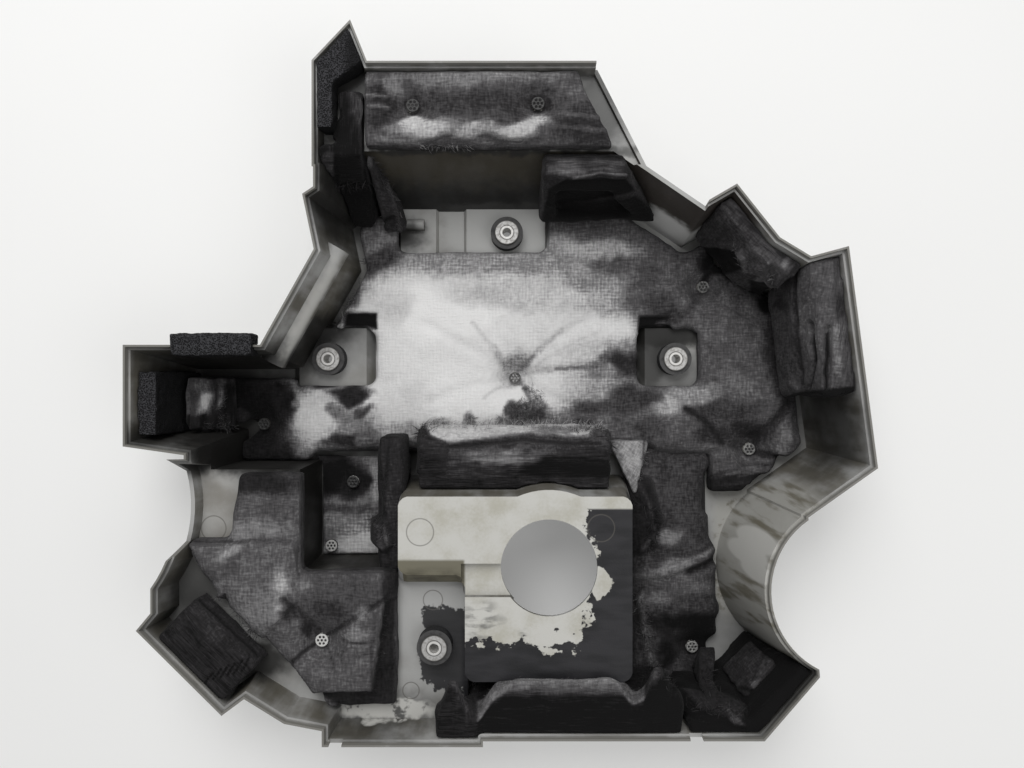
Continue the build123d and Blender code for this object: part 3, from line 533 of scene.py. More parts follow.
# the pads' stored tone is soot, with painted shade in their creases and hollows and painted shadow under
# overhanging edges
soot = stored(place, "soot")
cut = stored(place, "cut")
woven = stored(place, "woven")
weave = stored(place, "weave", "Vector")
wander = vector_sum("SUBTRACT", cloud(weave, 130, 3, output="Color"), (0.5, 0.5, 0.5))
loose_weave = vector_sum("ADD", weave, vector_sum("MULTIPLY", wander, (0.0022, 0.0022, 0.0022)))
waffle_pitch = 0.0029
threads = [
    value.node("ShaderNodeMath", {"operation": "SINE"}, {0: value * (2 * math.pi / waffle_pitch)})
    for value in axes(loose_weave)[:2]
]
waffle = (threads[0] + threads[1]) * 0.25 + 0.5
worn_weave = rise(cloud(place, 45, 4), 0.34, 0.62) * woven
fibre = cloud(weave, 700, 7, (1, 0.25, 1)) + cloud(weave, 700, 7, (0.25, 1, 1)) - 1
layers = cloud(weave, 1300, 5, (0.05, 1, 1)) - 0.5
tatters = cloud(weave, 260, 6, (0.12, 1, 1)) - 0.5
mist = cloud(place, 75, 7) - 0.5
middling = rise(soot, 0.02, 0.3) * (1 - rise(soot, 0.75, 1.0) * 0.6)
dirt_and_shade = soot + mist * (0.06 + middling * 0.2) + fibre * (0.07 + middling * 0.3) * (1 - cut * 0.5)
dirt_and_shade = dirt_and_shade + (layers * 0.52 + tatters * 0.34) * cut
waffle_dirt = 0.035 + middling * 0.09 - rise(soot, 0.45, 0.7) * 0.06
dirt_and_shade = dirt_and_shade + (0.5 - waffle) * waffle_dirt * worn_weave * (1 - cut)
tones = [
    (0.0, (0.68, 0.675, 0.67)),
    (0.2, (0.42, 0.415, 0.415)),
    (0.4, (0.185, 0.182, 0.184)),
    (0.6, (0.073, 0.0705, 0.0725)),
    (0.8, (0.0245, 0.0232, 0.0242)),
    (1.0, (0.0055, 0.0053, 0.0054)),
]
shade = dirt_and_shade.node("ShaderNodeValToRGB", {"stops": tones}, {"Fac": dirt_and_shade}, "Color")
relief = waffle * 0.2 * (1 - cut) * worn_weave + fibre * 0.8 + (layers * 1.1 + tatters) * cut
feed(shader, Base_Color=shade, Normal=bump(relief, 0.0008, 0.8))
shader.inputs["Roughness"].default_value = 0.95
shader.inputs["Specular IOR Level"].default_value = 0.1
shader.inputs["Sheen Weight"].default_value = 0.03

up = (0, 0, 1)
down = (0, 0, -1)

# where the studs stand and the levels of their tops, in millimetres
stud_tops = (
    (2.4, 4.8, 10.2), (151.3, 76.8, 10.2), (187.8, -51.5, 10.2), (-196.5, -31.7, 10.2),
    (-126.0, -77.6, 10.2), (-143.0, -128.0, 10.2), (142.6, -208.0, 10.2),
    (-69.4, 194.3, 82.4), (18.2, 195.7, 82.4), (-136.4, -183.8, 67.4),
)


dimple_floor = 5.5
dimple_slope = 36
dimple_depth = 2.4
same_level = 25


def press(points):
    """Pulls a pad's face down under the heads of the studs that hold it."""
    for stud_x, stud_y, top in stud_tops:
        reach = np.hypot(points[:, 0] * 1000 - stud_x, points[:, 1] * 1000 - stud_y)
        pull = (1 - np.clip((reach - dimple_floor) / dimple_slope, 0, 1)) ** 3.2
        pull = pull * (np.abs(points[:, 2] * 1000 - top) < same_level)
        points[:, 2] += (np.minimum(points[:, 2], (top - dimple_depth) / 1000) - points[:, 2]) * pull


shell_wall = BVHTree.FromPolygons(
    [tuple(vertex.co) for vertex in shell.data.vertices],
    [tuple(face.vertices) for face in shell.data.polygons],
)


def stop_at_shell(start, end, least=0.0015, clear=0.0004):
    """Keeps points that move further than the least on their own side of the plastic."""
    for i in np.flatnonzero(np.linalg.norm(end - start, axis=1) > least):
        step = Vector(end[i] - start[i])
        reach = shell_wall.ray_cast(Vector(start[i]), step, step.length + clear)[3]
        if reach is not None:
            end[i] = start[i] + np.array(step.normalized()) * max(reach - clear, 0)


def lay(pad, face, glued, grain, woven, base, strokes, waves=0.8):
    """Creases, pulls and darkens a pad by strokes of (mark, lift, tone), with its weave turned by the grain.
    A tone paints soot, and painted shade where a stroke follows a crease or lies in a hollow or under an
    overhanging edge.

    A lift is in millimetres off the surface. A pull instead is three millimetres, along x, y and z, and the
    two levels between which it grows.
    """
    points, normals = points_of(pad)
    lowest = points[:, 2].min()
    plan = seen(points)
    fray = [mottle(points, 0.018, s) + 0.6 * mottle(points, 0.006, s + 1) for s in (1, 3)]
    ragged = plan + 5 * np.stack(fray, axis=1)
    move = normals * (waves * (mottle(points, 0.026, 5) + 0.6 * mottle(points, 0.009, 6)))[:, None]
    soot = np.full(len(points), float(base))
    for mark, lift, tone in strokes:
        cover = mark(plan + 0.12 * (ragged - plan), ragged)[:, None]
        if isinstance(lift, tuple):
            *pull, start, full = lift
            grown = soft_step((points[:, 2:] * 1000 - start) / (full - start))
            move += cover * grown * pull
        else:
            move += cover * lift * normals
        if tone is not None:
            soot += (tone - soot) * cover[:, 0]
    free = np.clip(1.2 - 2 * (normals @ np.array(glued, float).T).max(axis=1), 0, 1)
    before = points.copy()
    points += move * free[:, None] / 1000
    if woven:
        press(points)
    stop_at_shell(before, points)
    points[:, 2] = np.maximum(points[:, 2], lowest)
    move_points(pad, points)
    normals = points_of(pad)[1]
    cut = np.clip((0.55 - normals @ (np.array(face, float) / np.linalg.norm(face))) / 0.3, 0, 1)
    cosine, sine = math.cos(math.radians(grain)), math.sin(math.radians(grain))
    turn = np.array([[cosine, -sine, 0], [sine, cosine, 0], [0, 0, 1]])
    turned = points @ turn
    facing = np.abs(normals @ turn).argmax(axis=1)
    weave = np.where((facing == 2)[:, None], turned, turned[:, [0, 2, 1]])
    weave = np.where((facing == 0)[:, None], turned[:, [1, 2, 0]], weave)
    for name, kind, slot, values in (
        ("soot", "FLOAT", "value", np.clip(soot + 0.1 * cut, -0.1, 1.15)),
        ("cut", "FLOAT", "value", cut),
        ("woven", "FLOAT", "value", woven * (1 - 0.7 * soft_step((soot - 0.45) / 0.25))),
        ("weave", "FLOAT_VECTOR", "vector", weave.ravel()),
    ):
        pad.data.attributes.new(name, kind, "POINT").data.foreach_set(slot, values)


def fit(pad, node, finish):
    """Gives a pad its finish and puts it in the place of its solid."""
    pad.data.materials.clear()
    pad.data.materials.append(finish)
    pad.data.shade_smooth()
    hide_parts(node)
    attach(pad, "root")


# Each stroke's tone is soot, and painted shade where a stroke follows a crease or a dimple or fills a hollow.
main_strokes = (
    # the clean middle, grey towards its edges
    (dab(470, 338, 175, 96), 0, 0.14),
    (dab(440, 335, 110, 60), 0, 0.05),
    (dab(595, 328, 60, 16), 0, 0.08),
    (dab(460, 394, 105, 32), 0, 0.03),
    (dab(402, 408, 30, 32), 0, 0.1),
    (dab(435, 312, 60, 26), 0, -0.03),
    (dab(500, 256, 150, 20), 0, 0.37),
    (dab(520, 292, 80, 18), 0, 0.19),
    (dab(394, 304, 22, 26), 0, 0.13),
    (dab(378, 258, 26, 12, 25), 0, 0.72),
    (dab(590, 246, 42, 9), 0, 0.27),
    (dab(628, 263, 40, 9), 0, 0.62),
    (dab(598, 282, 34, 8), 0, 0.4),
    (dab(655, 290, 30, 36), 0, 0.62),
    (dab(664, 308, 16, 14), 0, 0.76),
    (dab(680, 245, 30, 16), 0, 0.7),
    (dab(352, 292, 16, 14, 40), 0, 0.6),
    (dab(328, 316, 16, 8), 0, 0.6),
    # the grey right side, black under the wall pads
    (dab(722, 345, 50, 46), 0, 0.6),
    (dab(784, 350, 18, 60), 0, 0.86),
    (dab(770, 300, 16, 10), 0, 1.08),
    (dab(722, 262, 24, 12), 0, 1.08),
    (dab(738, 290, 22, 9, -42), 1.5, 0.7),
    (dab(690, 394, 28, 11), 0, 0.36),
    (dab(667, 404, 15, 11), 0, 0.26),
    (dab(736, 384, 18, 10), 0, 0.54),
    (dab(725, 410, 40, 12), 0, 0.76),
    (dab(650, 428, 14, 14, 24), 0, 0.7),
    (dab(684, 424, 20, 10), 0, 0.58),
    (dab(700, 430, 14, 12), 0, 0.8),
    (dab(745, 432, 30, 12), 0, 0.84),
    (dab(742, 460, 40, 7), 0, 0.62),
    (patch(5, (706, 476), (745, 466), (802, 460), (802, 494), (706, 494)), 0.8, 0.92),
    (fold(2.2, (738, 477), (768, 470), (798, 466)), 0.8, 0.72),
    (fold(2.2, (722, 485), (752, 482), (776, 477)), 0.8, 0.78),
    # dark smears right of the middle stud, and along the roll
    (dab(628, 364, 26, 14), 0, 0.82),
    (dab(600, 371, 20, 7), 0, 0.42),
    (dab(634, 397, 26, 13), 0, 0.78),
    (dab(600, 409, 34, 9), 0, 0.72),
    (dab(560, 419, 44, 8), 0, 0.54),
    (dab(560, 371, 28, 5), 0, 0.22),
    (dab(440, 421, 10, 7), 2.5, 0.26),
    (dab(470, 419, 8, 8), 3.0, 0.5),
    (dab(504, 421, 9, 7), 2.0, 0.4),
    (dab(585, 421, 9, 6), 2.0, 0.7),
    # painted shadow, black, in the hollows where the pad's thick cut edges overhang two bosses
    (patch(4, (344, 312), (376, 314), (376, 330), (344, 328)), -3.0, 1.08),
    (patch(4, (640, 317), (668, 317), (671, 331), (696, 334), (696, 343), (640, 343)), -3.0, 1.08),
    # the light scrap before the left boss, and the black left end
    (dab(402, 430, 22, 8), 0, 0.3),
    (dab(314, 416, 26, 32), 0, 0.12),
    (dab(334, 412, 10, 7), 0, 0.5),
    (dab(352, 395, 21, 9), 0, 0.9),
    (dab(364, 412, 13, 6), 0, 0.7),
    (dab(352, 427, 18, 7), 0, 0.42),
    (dab(345, 441, 20, 6), 0, 0.86),
    (dab(362, 442, 10, 6), 0, 0.52),
    (dab(326, 384, 12, 4), 0, 0.7),
    (dab(286, 400, 10, 16), 0, 0.9),
    (dab(245, 420, 38, 60), 0, 0.98),
    (dab(278, 462, 18, 24), 0, 0.96),
    (dab(235, 412, 16, 6, -25), 0, 0.84),
    (dab(276, 396, 6, 14), 0, 0.88),
    # creases from the middle stud, with painted shade along them and in a dark wedge round the stud
    (dab(517, 362, 13, 12), 0, 0.3),
    (dab(512, 376, 10, 9), 0, 0.3),
    (fold(9, (517, 376), (545, 346), (590, 318)), -1.6, None),
    (fold(5, (518, 372), (540, 350)), 0, 0.4),
    (fold(4, (538, 352), (562, 330)), -0.3, 0.22),
    (fold(3.5, (540, 364), (570, 346), (600, 332)), -0.4, 0.16),
    (fold(8, (517, 377), (575, 368), (640, 364)), -1.4, None),
    (fold(3.5, (522, 374), (560, 369)), 0, 0.24),
    (fold(3.5, (556, 369), (606, 366)), -0.4, 0.5),
    (fold(9, (517, 380), (545, 395), (600, 420), (640, 432)), -1.6, None),
    (fold(4, (520, 382), (540, 400), (560, 420)), -0.4, 0.36),
    (fold(9, (512, 376), (470, 348), (425, 325)), -1.4, None),
    (fold(6, (509, 371), (493, 348)), 0, 0.3),
    (fold(4, (494, 350), (472, 322)), -0.3, 0.15),
    (fold(8, (513, 374), (500, 340), (478, 296)), -1.0, None),
    (fold(9, (510, 380), (465, 388), (430, 402)), -1.2, None),
    (fold(3, (508, 384), (494, 390), (484, 398)), -0.3, 0.14),
    (dab(524, 412, 17, 13), 2.0, 0.54),
    (dab(514, 406, 8, 8), 1.5, 0.62),
    (dab(537, 411, 8, 10), 2.0, 0.68),
    (fold(4, (524, 388), (531, 400), (536, 408)), 2.0, 0.56),
    # creases from the stud at the back right, two of them painted dark as painted shade
    (fold(8, (703, 287), (728, 302), (757, 322)), -2.6, None),
    (fold(8, (702, 289), (690, 312), (660, 326)), -2.0, 0.72),
    (fold(7, (700, 286), (672, 281), (640, 286)), -1.8, None),
    (fold(7, (704, 284), (714, 264), (732, 252)), -2.2, 0.95),
    (fold(10, (715, 292), (748, 300), (762, 300)), 2.2, None),
    # the pulled tail at the right front stud, its creases painted dark as painted shade
    (fold(8, (750, 448), (772, 426), (790, 402)), -2.4, 0.84),
    (fold(6, (751, 450), (774, 457), (800, 464)), -2.2, 0.88),
    (patch(8, (756, 446), (790, 412), (798, 462)), 2.5, None),
    (fold(9, (748, 447), (725, 424), (706, 412)), -2.4, 0.74),
    (fold(6, (747, 449), (725, 444), (703, 438)), -1.8, 0.75),
    (fold(8, (750, 446), (752, 424), (744, 392)), -1.8, None),
    (patch(6, (712, 478), (745, 466), (800, 464), (798, 470), (740, 474)), 1.6, 0.6),
    (dab(786, 436, 8, 18, -28), 0, 0.52),
    # the bulge that laps over the strip's end
    (patch(9, (650, 440), (662, 420), (686, 410), (712, 424), (724, 446), (700, 452), (655, 452)), 4.0, None),
    (dab(680, 428, 18, 10, 10), 0, 0.62),
    (fold(5, (686, 408), (704, 420), (722, 442)), -1.5, 0.92),
    # the dark left end
    (fold(6, (262, 424), (235, 436), (205, 451)), -2.2, 0.6),
    (fold(2.5, (262, 424), (243, 432)), 0.8, 0.5),
    (fold(8, (262, 422), (240, 410), (215, 400)), -2.5, None),
    (fold(7, (262, 422), (285, 400), (300, 386)), -2.0, None),
    (fold(7, (264, 426), (276, 442), (290, 456)), -1.6, None),
    (patch(8, (222, 402), (250, 398), (256, 416), (240, 424), (222, 416)), 2.2, None),
)
main_pad = foam_skin("main_fleece", "main_pad", voxel=0.0032, rounds=3)
puff(main_pad, [down])
refine(main_pad)
lay(main_pad, up, [down], grain=0, woven=1, base=0.6, strokes=main_strokes)
fit(main_pad, "main_pad", fleece)


# Smaller pads of the same fleece-faced foam lie on the other floors: the strip between the well and the
# scoop, the thin pad and the standing strip of the bay, the plateau's pad and the shelf's band.
# On these pads too, a stroke's tone is soot, and painted shade where it follows a crease or lies in a hollow.
strip_strokes = (
    (patch(10, (635, 436), (728, 436), (728, 466), (635, 466)), (0, 4.5, 0, 0, 6), None),
    (dab(680, 490, 42, 36), 0, 0.74),
    (patch(8, (628, 470), (650, 480), (662, 520), (645, 552), (628, 556)), 5.5, 0.92),
    (fold(3, (636, 478), (648, 500), (654, 530), (644, 550)), 1.5, 0.74),
    (patch(14, (696, 556), (724, 548), (726, 640), (700, 640)), (6, 0, 0, 0, 8), None),
    (patch(8, (700, 470), (716, 470), (716, 512), (702, 512)), (-4, 0, 0, 0, 8), None),
    (dab(668, 537, 17, 7, 4), 1.2, 0.46),
    (dab(672, 572, 34, 13, 6), 0, 0.5),
    (dab(690, 588, 30, 9), 0, 0.58),
    (dab(655, 598, 16, 7), 0, 0.56),
    (fold(9, (636, 575), (665, 572), (692, 563), (708, 548), (716, 538)), 4.5, None),
    (fold(2.5, (650, 570), (680, 564), (702, 552), (712, 542)), 0, 0.46),
    (fold(7, (690, 572), (706, 560), (718, 548)), -2.5, 0.84),
    (dab(696, 545, 18, 6, 30), 0, 0.72),
    (dab(690, 621, 36, 11), 0, 1.0),
    (dab(702, 640, 20, 12), 0, 1.05),
    (dab(668, 655, 12, 14), 0, 0.98),
    (patch(10, (640, 605), (720, 600), (724, 612), (690, 618), (645, 614)), 2.4, None),
    (fold(7, (640, 598), (646, 635), (654, 676)), 3.0, 0.56),
    (fold(8, (692, 650), (672, 640), (650, 622)), -2.4, 0.9),
    (fold(7, (692, 651), (676, 664), (656, 676)), -2.4, None),
    (fold(7, (693, 648), (712, 636), (724, 630)), -2.4, None),
    (patch(4, (678, 678), (690, 656), (712, 656), (708, 676)), 1.5, 0.8),
    (fold(6, (656, 462), (690, 456), (712, 460)), -2.0, None),
)
bay_strokes = (
    # the black top of the bay's pad, fading down it, is painted shadow cast by the main pad's edge
    (dab(335, 474, 36, 22), 0, 1.02),
    (dab(352, 484, 16, 14), 0, 0.94),
    (dab(376, 484, 8, 22), 0, 0.32),
    (dab(340, 508, 36, 5), 0, 0.66),
    (dab(336, 522, 36, 8), 0, 0.42),
    (dab(358, 545, 24, 20), 0, 0.16),
    (dab(318, 556, 10, 8), 0, 0.28),
    (dab(306, 520, 5, 50), 0, 0.8),
    (dab(331, 563, 10, 6), 0.8, 0.56),
    (fold(2, (332, 545), (372, 528)), -0.8, None),
    (fold(2, (330, 552), (326, 572)), -0.8, None),
)
bay_strip_strokes = (
    (dab(388, 442, 8, 12), 0, 0.86),
    (dab(388, 500, 8, 18), 0, 0.78),
    (patch(5, (362, 524), (372, 514), (388, 520), (392, 545), (384, 552), (374, 538)), 5.5, 0.74),
    (fold(3, (366, 524), (376, 520), (386, 528), (390, 544)), 0, 0.64),
    (dab(388, 582, 8, 22), 0, 0.86),
    (fold(5, (386, 440), (382, 500), (388, 590)), -1.2, None),
)
plateau_strokes = (
    (dab(255, 482, 44, 16), 0, 0.9),
    (dab(262, 506, 34, 9), 0, 0.62),
    (dab(250, 530, 40, 10), 0, 0.46),
    (patch(3, (190, 542), (296, 540), (298, 600), (262, 640), (215, 590)), 2.6, 0.56),
    (fold(2.2, (190, 543), (240, 541), (294, 541)), -1.5, 0.72),
    (dab(232, 551, 18, 6, 18), 0.8, 0.4),
    (dab(222, 572, 20, 9), 0, 0.64),
    (dab(281, 588, 10, 26), 0, 0.34),
    (dab(258, 606, 22, 18), 0, 0.48),
    (patch(4, (298, 570), (392, 568), (388, 600), (330, 634), (304, 612)), 1.0, 0.66),
    (dab(305, 582, 8, 8), 0, 0.5),
    (dab(330, 612, 16, 12), 0, 0.8),
    (dab(290, 612, 8, 9), 0, 0.8),
    # the creases of the folded square are painted dark, as painted shade
    (fold(7, (322, 640), (302, 618), (284, 600)), -3.2, 0.8),
    (dab(292, 634, 12, 11), 0.8, 0.56),
    (dab(305, 633, 7, 9), 0, 0.86),
    (patch(3, (322, 640), (386, 600), (373, 690), (315, 692), (292, 660)), 3.2, 0.6),
    (fold(4, (322, 640), (352, 620), (386, 598)), -1.6, 0.84),
    (fold(4, (322, 641), (306, 651), (292, 661)), -1.6, 0.86),
    # a painted highlight on the ridge of the folded square
    (dab(358, 634, 14, 14, 30), 0.8, 0.5),
    (dab(366, 612, 9, 7, 30), 0, 0.48),
    (fold(1.8, (374, 640), (358, 642), (342, 640)), -1.2, 0.8),
    (fold(1.8, (322, 642), (330, 656), (336, 672)), -1.0, 0.74),
    (fold(2, (372, 652), (352, 656)), -1.0, 0.72),
    (patch(4, (386, 599), (396, 598), (396, 708), (340, 708), (316, 694), (373, 691)), -2.0, 0.92),
    (fold(3, (376, 612), (372, 650), (371, 690)), 0.8, 0.72),
    (patch(5, (204, 588), (224, 592), (236, 616), (256, 626), (274, 652), (258, 664), (238, 642)), 3.6, 0.7),
    (fold(3, (226, 594), (234, 614), (252, 626)), -2.0, 0.9),
    (fold(3, (240, 616), (247, 634)), -2.0, 0.92),
    (dab(262, 650, 9, 5, -40), 0, 0.56),
    (dab(390, 582, 7, 20), 0, 0.9),
)
band_strokes = (
    (patch(10, (350, 50), (606, 50), (606, 84), (350, 84)), (0, 4.5, 0, 76, 80), None),
    (dab(480, 80, 100, 7), 0.5, 0.48),
    (dab(480, 103, 76, 10), -0.8, 0.74),
    (dab(380, 104, 14, 26), 0, 0.82),
    (dab(394, 88, 12, 8), 0, 0.5),
    (dab(425, 127, 36, 11, 6), 1.6, 0.28),
    (dab(412, 122, 12, 6), 0, 0.2),
    (dab(480, 131, 26, 8), 0.8, 0.36),
    (dab(522, 127, 28, 10, 14), 1.6, 0.2),
    (dab(588, 124, 36, 20), 0, 0.84),
    (dab(580, 92, 16, 9), 0, 0.6),
    (dab(398, 141, 24, 4), 0, 0.5),
    (dab(480, 144, 90, 3), 0, 0.62),
    (dab(414, 99, 14, 7), 0, 0.78),
    (dab(537, 103, 10, 9), 0, 0.9),
    (fold(4, (366, 84), (384, 84)), 0.8, 0.5),
    (fold(3, (366, 95), (386, 96)), 0.8, 0.5),
    (fold(3, (368, 106), (388, 107)), 0.8, 0.52),
    (fold(4, (556, 112), (612, 119)), 0.8, 0.62),
    (fold(4, (556, 126), (618, 132)), 0.8, 0.64),
)
flat_pads = (
    ("strip_fleece", "strip_pad", 0.0032, up, 0.4, 0.74, strip_strokes),
    ("bay_fleece", "bay_pad", 0.003, up, 1.6, 0.5, bay_strokes),
    ("bay_standing_strip", "bay_strip", 0.003, (1, 0, 1), 0, 0.82, bay_strip_strokes),
    ("plateau_fleece", "plateau_pad", 0.0032, up, 0.7, 0.62, plateau_strokes),
    ("shelf_band", "band_pad", 0.003, up, 0.8, 0.68, band_strokes),
)
soft_pads = {"main_fleece": main_pad}
for name, node, voxel, face, woven_share, base, strokes in flat_pads:
    pad = foam_skin(name, node, voxel, rounds=3)
    puff(pad, [down])
    refine(pad)
    lay(pad, face, [down], grain=0, woven=woven_share, base=base, strokes=strokes)
    fit(pad, node, fleece)
    soft_pads[name] = pad


# The wall pads and blocks are cut from thicker foam. Their sides show the layers of the foam as fine dark
# lines, and soot has filled them. They are glued to the walls and wedged behind one another.
# On the wall pads too, a stroke's tone is soot, and painted shade along creases, in troughs and under lower
# edges; the rows of fine dark lines on the wing and the left flap are the foam's sooty layers.
right_wall_strokes = (
    (patch(16, (770, 236), (852, 236), (852, 292), (770, 292)), (0, 11, 0, 25, 60), None),
    (dab(820, 278, 24, 22), 0, 0.62),
    (dab(818, 330, 22, 34), 0, 0.6),
    (dab(842, 348, 9, 30), 1.0, 0.5),
    (dab(788, 345, 11, 36), 3.0, 0.74),
    (dab(789, 390, 10, 11), 1.5, 0.62),
    # the creases are painted dark, as painted shade
    (fold(5, (811, 325), (813, 360), (807, 388)), -4.5, None),
    (fold(2.6, (812, 335), (813, 362), (808, 388)), -1.0, 1.0),
    (fold(4, (828, 328), (827, 360), (826, 388)), -3.5, None),
    (fold(2.2, (828, 334), (827, 362), (826, 388)), -1.0, 0.98),
    (fold(3, (798, 262), (796, 300), (800, 350), (802, 384)), -1.5, 0.86),
    # painted shade, black, along the block's lower edge
    (patch(4, (774, 400), (800, 392), (854, 387), (852, 398), (805, 416), (774, 412)), 0, 1.12),
    (dab(782, 306, 10, 8), 0, 0.8),
)
diagonal_strokes = (
    (dab(750, 228, 26, 18, -38), 0, 0.74),
    (dab(770, 258, 16, 14, -38), 0, 0.62),
    (dab(726, 238, 16, 12, -30), 0, 0.8),
    (patch(4, (703, 246), (738, 248), (744, 268), (720, 276), (700, 262)), -1.0, 1.12),
    (patch(4, (750, 280), (775, 284), (796, 276), (797, 302), (770, 310), (752, 298)), -1.0, 1.12),
    (fold(6, (706, 243), (738, 247), (746, 266), (764, 270), (774, 284), (792, 266)), 3.5, None),
    (fold(3, (736, 248), (746, 258), (748, 268), (764, 272), (772, 282)), 0.8, 0.58),
    (dab(786, 263, 5, 5), 0, 0.4),
    (dab(762, 278, 6, 5), 0, 0.5),
)
front_strokes = (
    # the arch and the two peaks that lean in to the well
    (patch(24, (484, 734), (504, 600), (616, 600), (636, 734)), (0, 17, 0, 50, 82), None),
    (patch(24, (504, 726), (534, 600), (596, 600), (622, 726)), (0, 9, 1, 79, 86), None),
    (patch(14, (430, 734), (438, 600), (462, 600), (474, 734)), (0, 8, 1, 58, 84), None),
    (patch(14, (444, 734), (450, 600), (456, 600), (462, 734)), (0, 20, 2, 62, 86), None),
    (patch(18, (636, 734), (648, 600), (668, 600), (686, 734)), (0, 16, 1, 58, 84), None),
    (patch(12, (648, 732), (654, 600), (660, 600), (668, 732)), (0, 16, 2, 66, 86), None),
    (patch(6, (476, 600), (646, 600), (646, 700), (476, 700)), 0, 0.95),
    (patch(5, (476, 700), (646, 700), (646, 725), (476, 725)), 1.0, 0.54),
    (dab(520, 714, 30, 9), 0.6, 0.45),
    (dab(590, 712, 34, 9), 0.6, 0.41),
    (patch(5, (476, 726), (646, 726), (646, 745), (476, 745)), 0, 0.95),
    (fold(3, (480, 735), (560, 734), (650, 737)), 0.6, 0.84),
    (patch(4, (434, 600), (477, 600), (477, 742), (434, 742)), 0, 0.84),
    (dab(454, 718, 9, 12), 0, 0.68),
    (fold(3, (466, 700), (467, 732)), 1.0, 0.74),
    (patch(5, (645, 600), (692, 600), (692, 742), (645, 742)), 0, 0.99),
    (dab(656, 718, 8, 10), 0, 0.7),
)
corner_strokes = (
    (patch(6, (682, 690), (720, 694), (745, 706), (742, 722), (700, 712)), 2.0, 0.84),
    (dab(735, 718, 14, 4, -20), 1.0, 0.72),
    (fold(4, (688, 716), (715, 722), (745, 730)), -1.5, 1.08),
    (patch(5, (786, 650), (824, 668), (775, 738), (742, 736)), 0, 1.05),
)
strap_strokes = (
    (patch(20, (676, 630), (726, 630), (726, 700), (676, 700)), (5, 15, 3.5, 44, 22), None),
    (dab(716, 655, 9, 20, 15), 0, 0.76),
    (fold(2.2, (708, 640), (720, 672), (738, 704)), 1.0, 0.7),
    (fold(2.2, (706, 652), (716, 684), (728, 704)), -1.0, 0.95),
)
corner_patch_strokes = (
    (dab(762, 668, 20, 16), 0.8, 0.76),
    (dab(756, 682, 4, 5), 0, 0.56),
    (fold(3, (742, 688), (765, 694), (790, 692)), -1.0, 1.0),
    (fold(3, (766, 650), (752, 680)), -1.0, 0.84),
)
felt_strokes = (
    (patch(8, (306, 120), (342, 120), (346, 230), (306, 230)), (-4, 0, 0, 25, 85), None),
    (patch(10, (310, 180), (376, 180), (376, 240), (310, 240)), (0, -12, 0, 55, 22), None),
    (dab(356, 118, 5, 30), 1.0, 0.62),
    (fold(2.5, (352, 92), (354, 130), (352, 150)), 0.8, 0.58),
    (dab(350, 150, 14, 30), 0, 0.92),
    (dab(332, 164, 9, 14), 2.0, 0.62),
    (fold(3, (340, 110), (341, 150), (340, 182)), -1.5, 1.02),
    (fold(3, (364, 100), (365, 150), (366, 182)), -1.2, 0.98),
    (patch(3, (312, 184), (374, 183), (376, 246), (312, 246)), -1.0, 1.1),
)
flap_strokes = (
    (patch(10, (366, 180), (412, 180), (412, 240), (366, 240)), (4, -14, 0, 60, 24), None),
    (dab(376, 176, 7, 22, 12), 0, 0.8),
    (dab(372, 160, 4, 8), 0.8, 0.6),
    (dab(386, 220, 10, 14), 1.0, 0.8),
    (fold(2.5, (370, 207), (394, 203)), -1.6, 0.98),
    (fold(3, (380, 160), (392, 196), (400, 232)), 1.2, 0.7),
)
house_strokes = (
    (dab(566, 166, 22, 9), 0, 0.54),
    (dab(608, 164, 26, 7), 0, 0.66),
    (fold(3, (574, 178), (600, 173), (626, 175)), 0.8, 0.54),
    # the trough along the block's foot, and the foot, painted black as painted shade
    (patch(3, (545, 206), (548, 190), (566, 180), (626, 180), (634, 190), (610, 197), (570, 204)), -1.5, 1.1),
    (patch(4, (544, 206), (636, 196), (656, 214), (656, 222), (542, 222)), 0, 1.0),
    (patch(3, (622, 160), (634, 168), (660, 208), (656, 216), (632, 186)), 0.6, 0.76),
    (fold(2.5, (542, 160), (541, 190), (542, 218)), 0.6, 0.72),
)
wing_strokes = (
    (dab(200, 628, 30, 24, -45), 0, 0.8),
    (dab(228, 668, 18, 12, -45), 0, 0.78),
    (patch(3, (236, 700), (262, 664), (268, 672), (246, 700)), 0, 0.98),
    (fold(2, (162, 634), (196, 668), (224, 696)), 0, 0.7),
    (fold(3, (200, 600), (232, 630), (258, 656)), -0.8, 0.98),
) + tuple((fold(1.4, (206 + 7 * i, 682 - 2 * i), (214 + 7 * i, 672 - 3 * i)), -1.2, 1.0) for i in range(6))
roll_strokes = (
    (patch(5, (424, 422), (520, 420), (598, 424), (606, 438), (530, 434), (450, 443), (428, 438)), 1.5, 0.2),
    (dab(560, 431, 30, 5), 0, 0.48),
    (dab(600, 440, 12, 9, -30), 1.5, 0.66),
    (patch(5, (414, 452), (424, 424), (430, 436), (448, 444), (446, 474), (414, 474)), 2.0, 0.82),
    (dab(500, 457, 44, 9), 0, 0.44),
    (dab(480, 468, 40, 5), 0, 0.72),
    (patch(8, (520, 474), (545, 458), (590, 456), (614, 462), (614, 478)), 0, 0.94),
    (fold(2.5, (450, 447), (520, 440), (600, 444)), -0.8, 0.86),
    (fold(2.5, (430, 462), (520, 456), (610, 462)), -0.8, None),
)
well_flap_strokes = (
    (dab(632, 456, 14, 26), 0, 0.32),
    (fold(3, (616, 446), (628, 470), (640, 492)), 0.8, 0.4),
    (fold(2, (644, 436), (644, 470), (638, 494)), 0.6, 0.66),
)
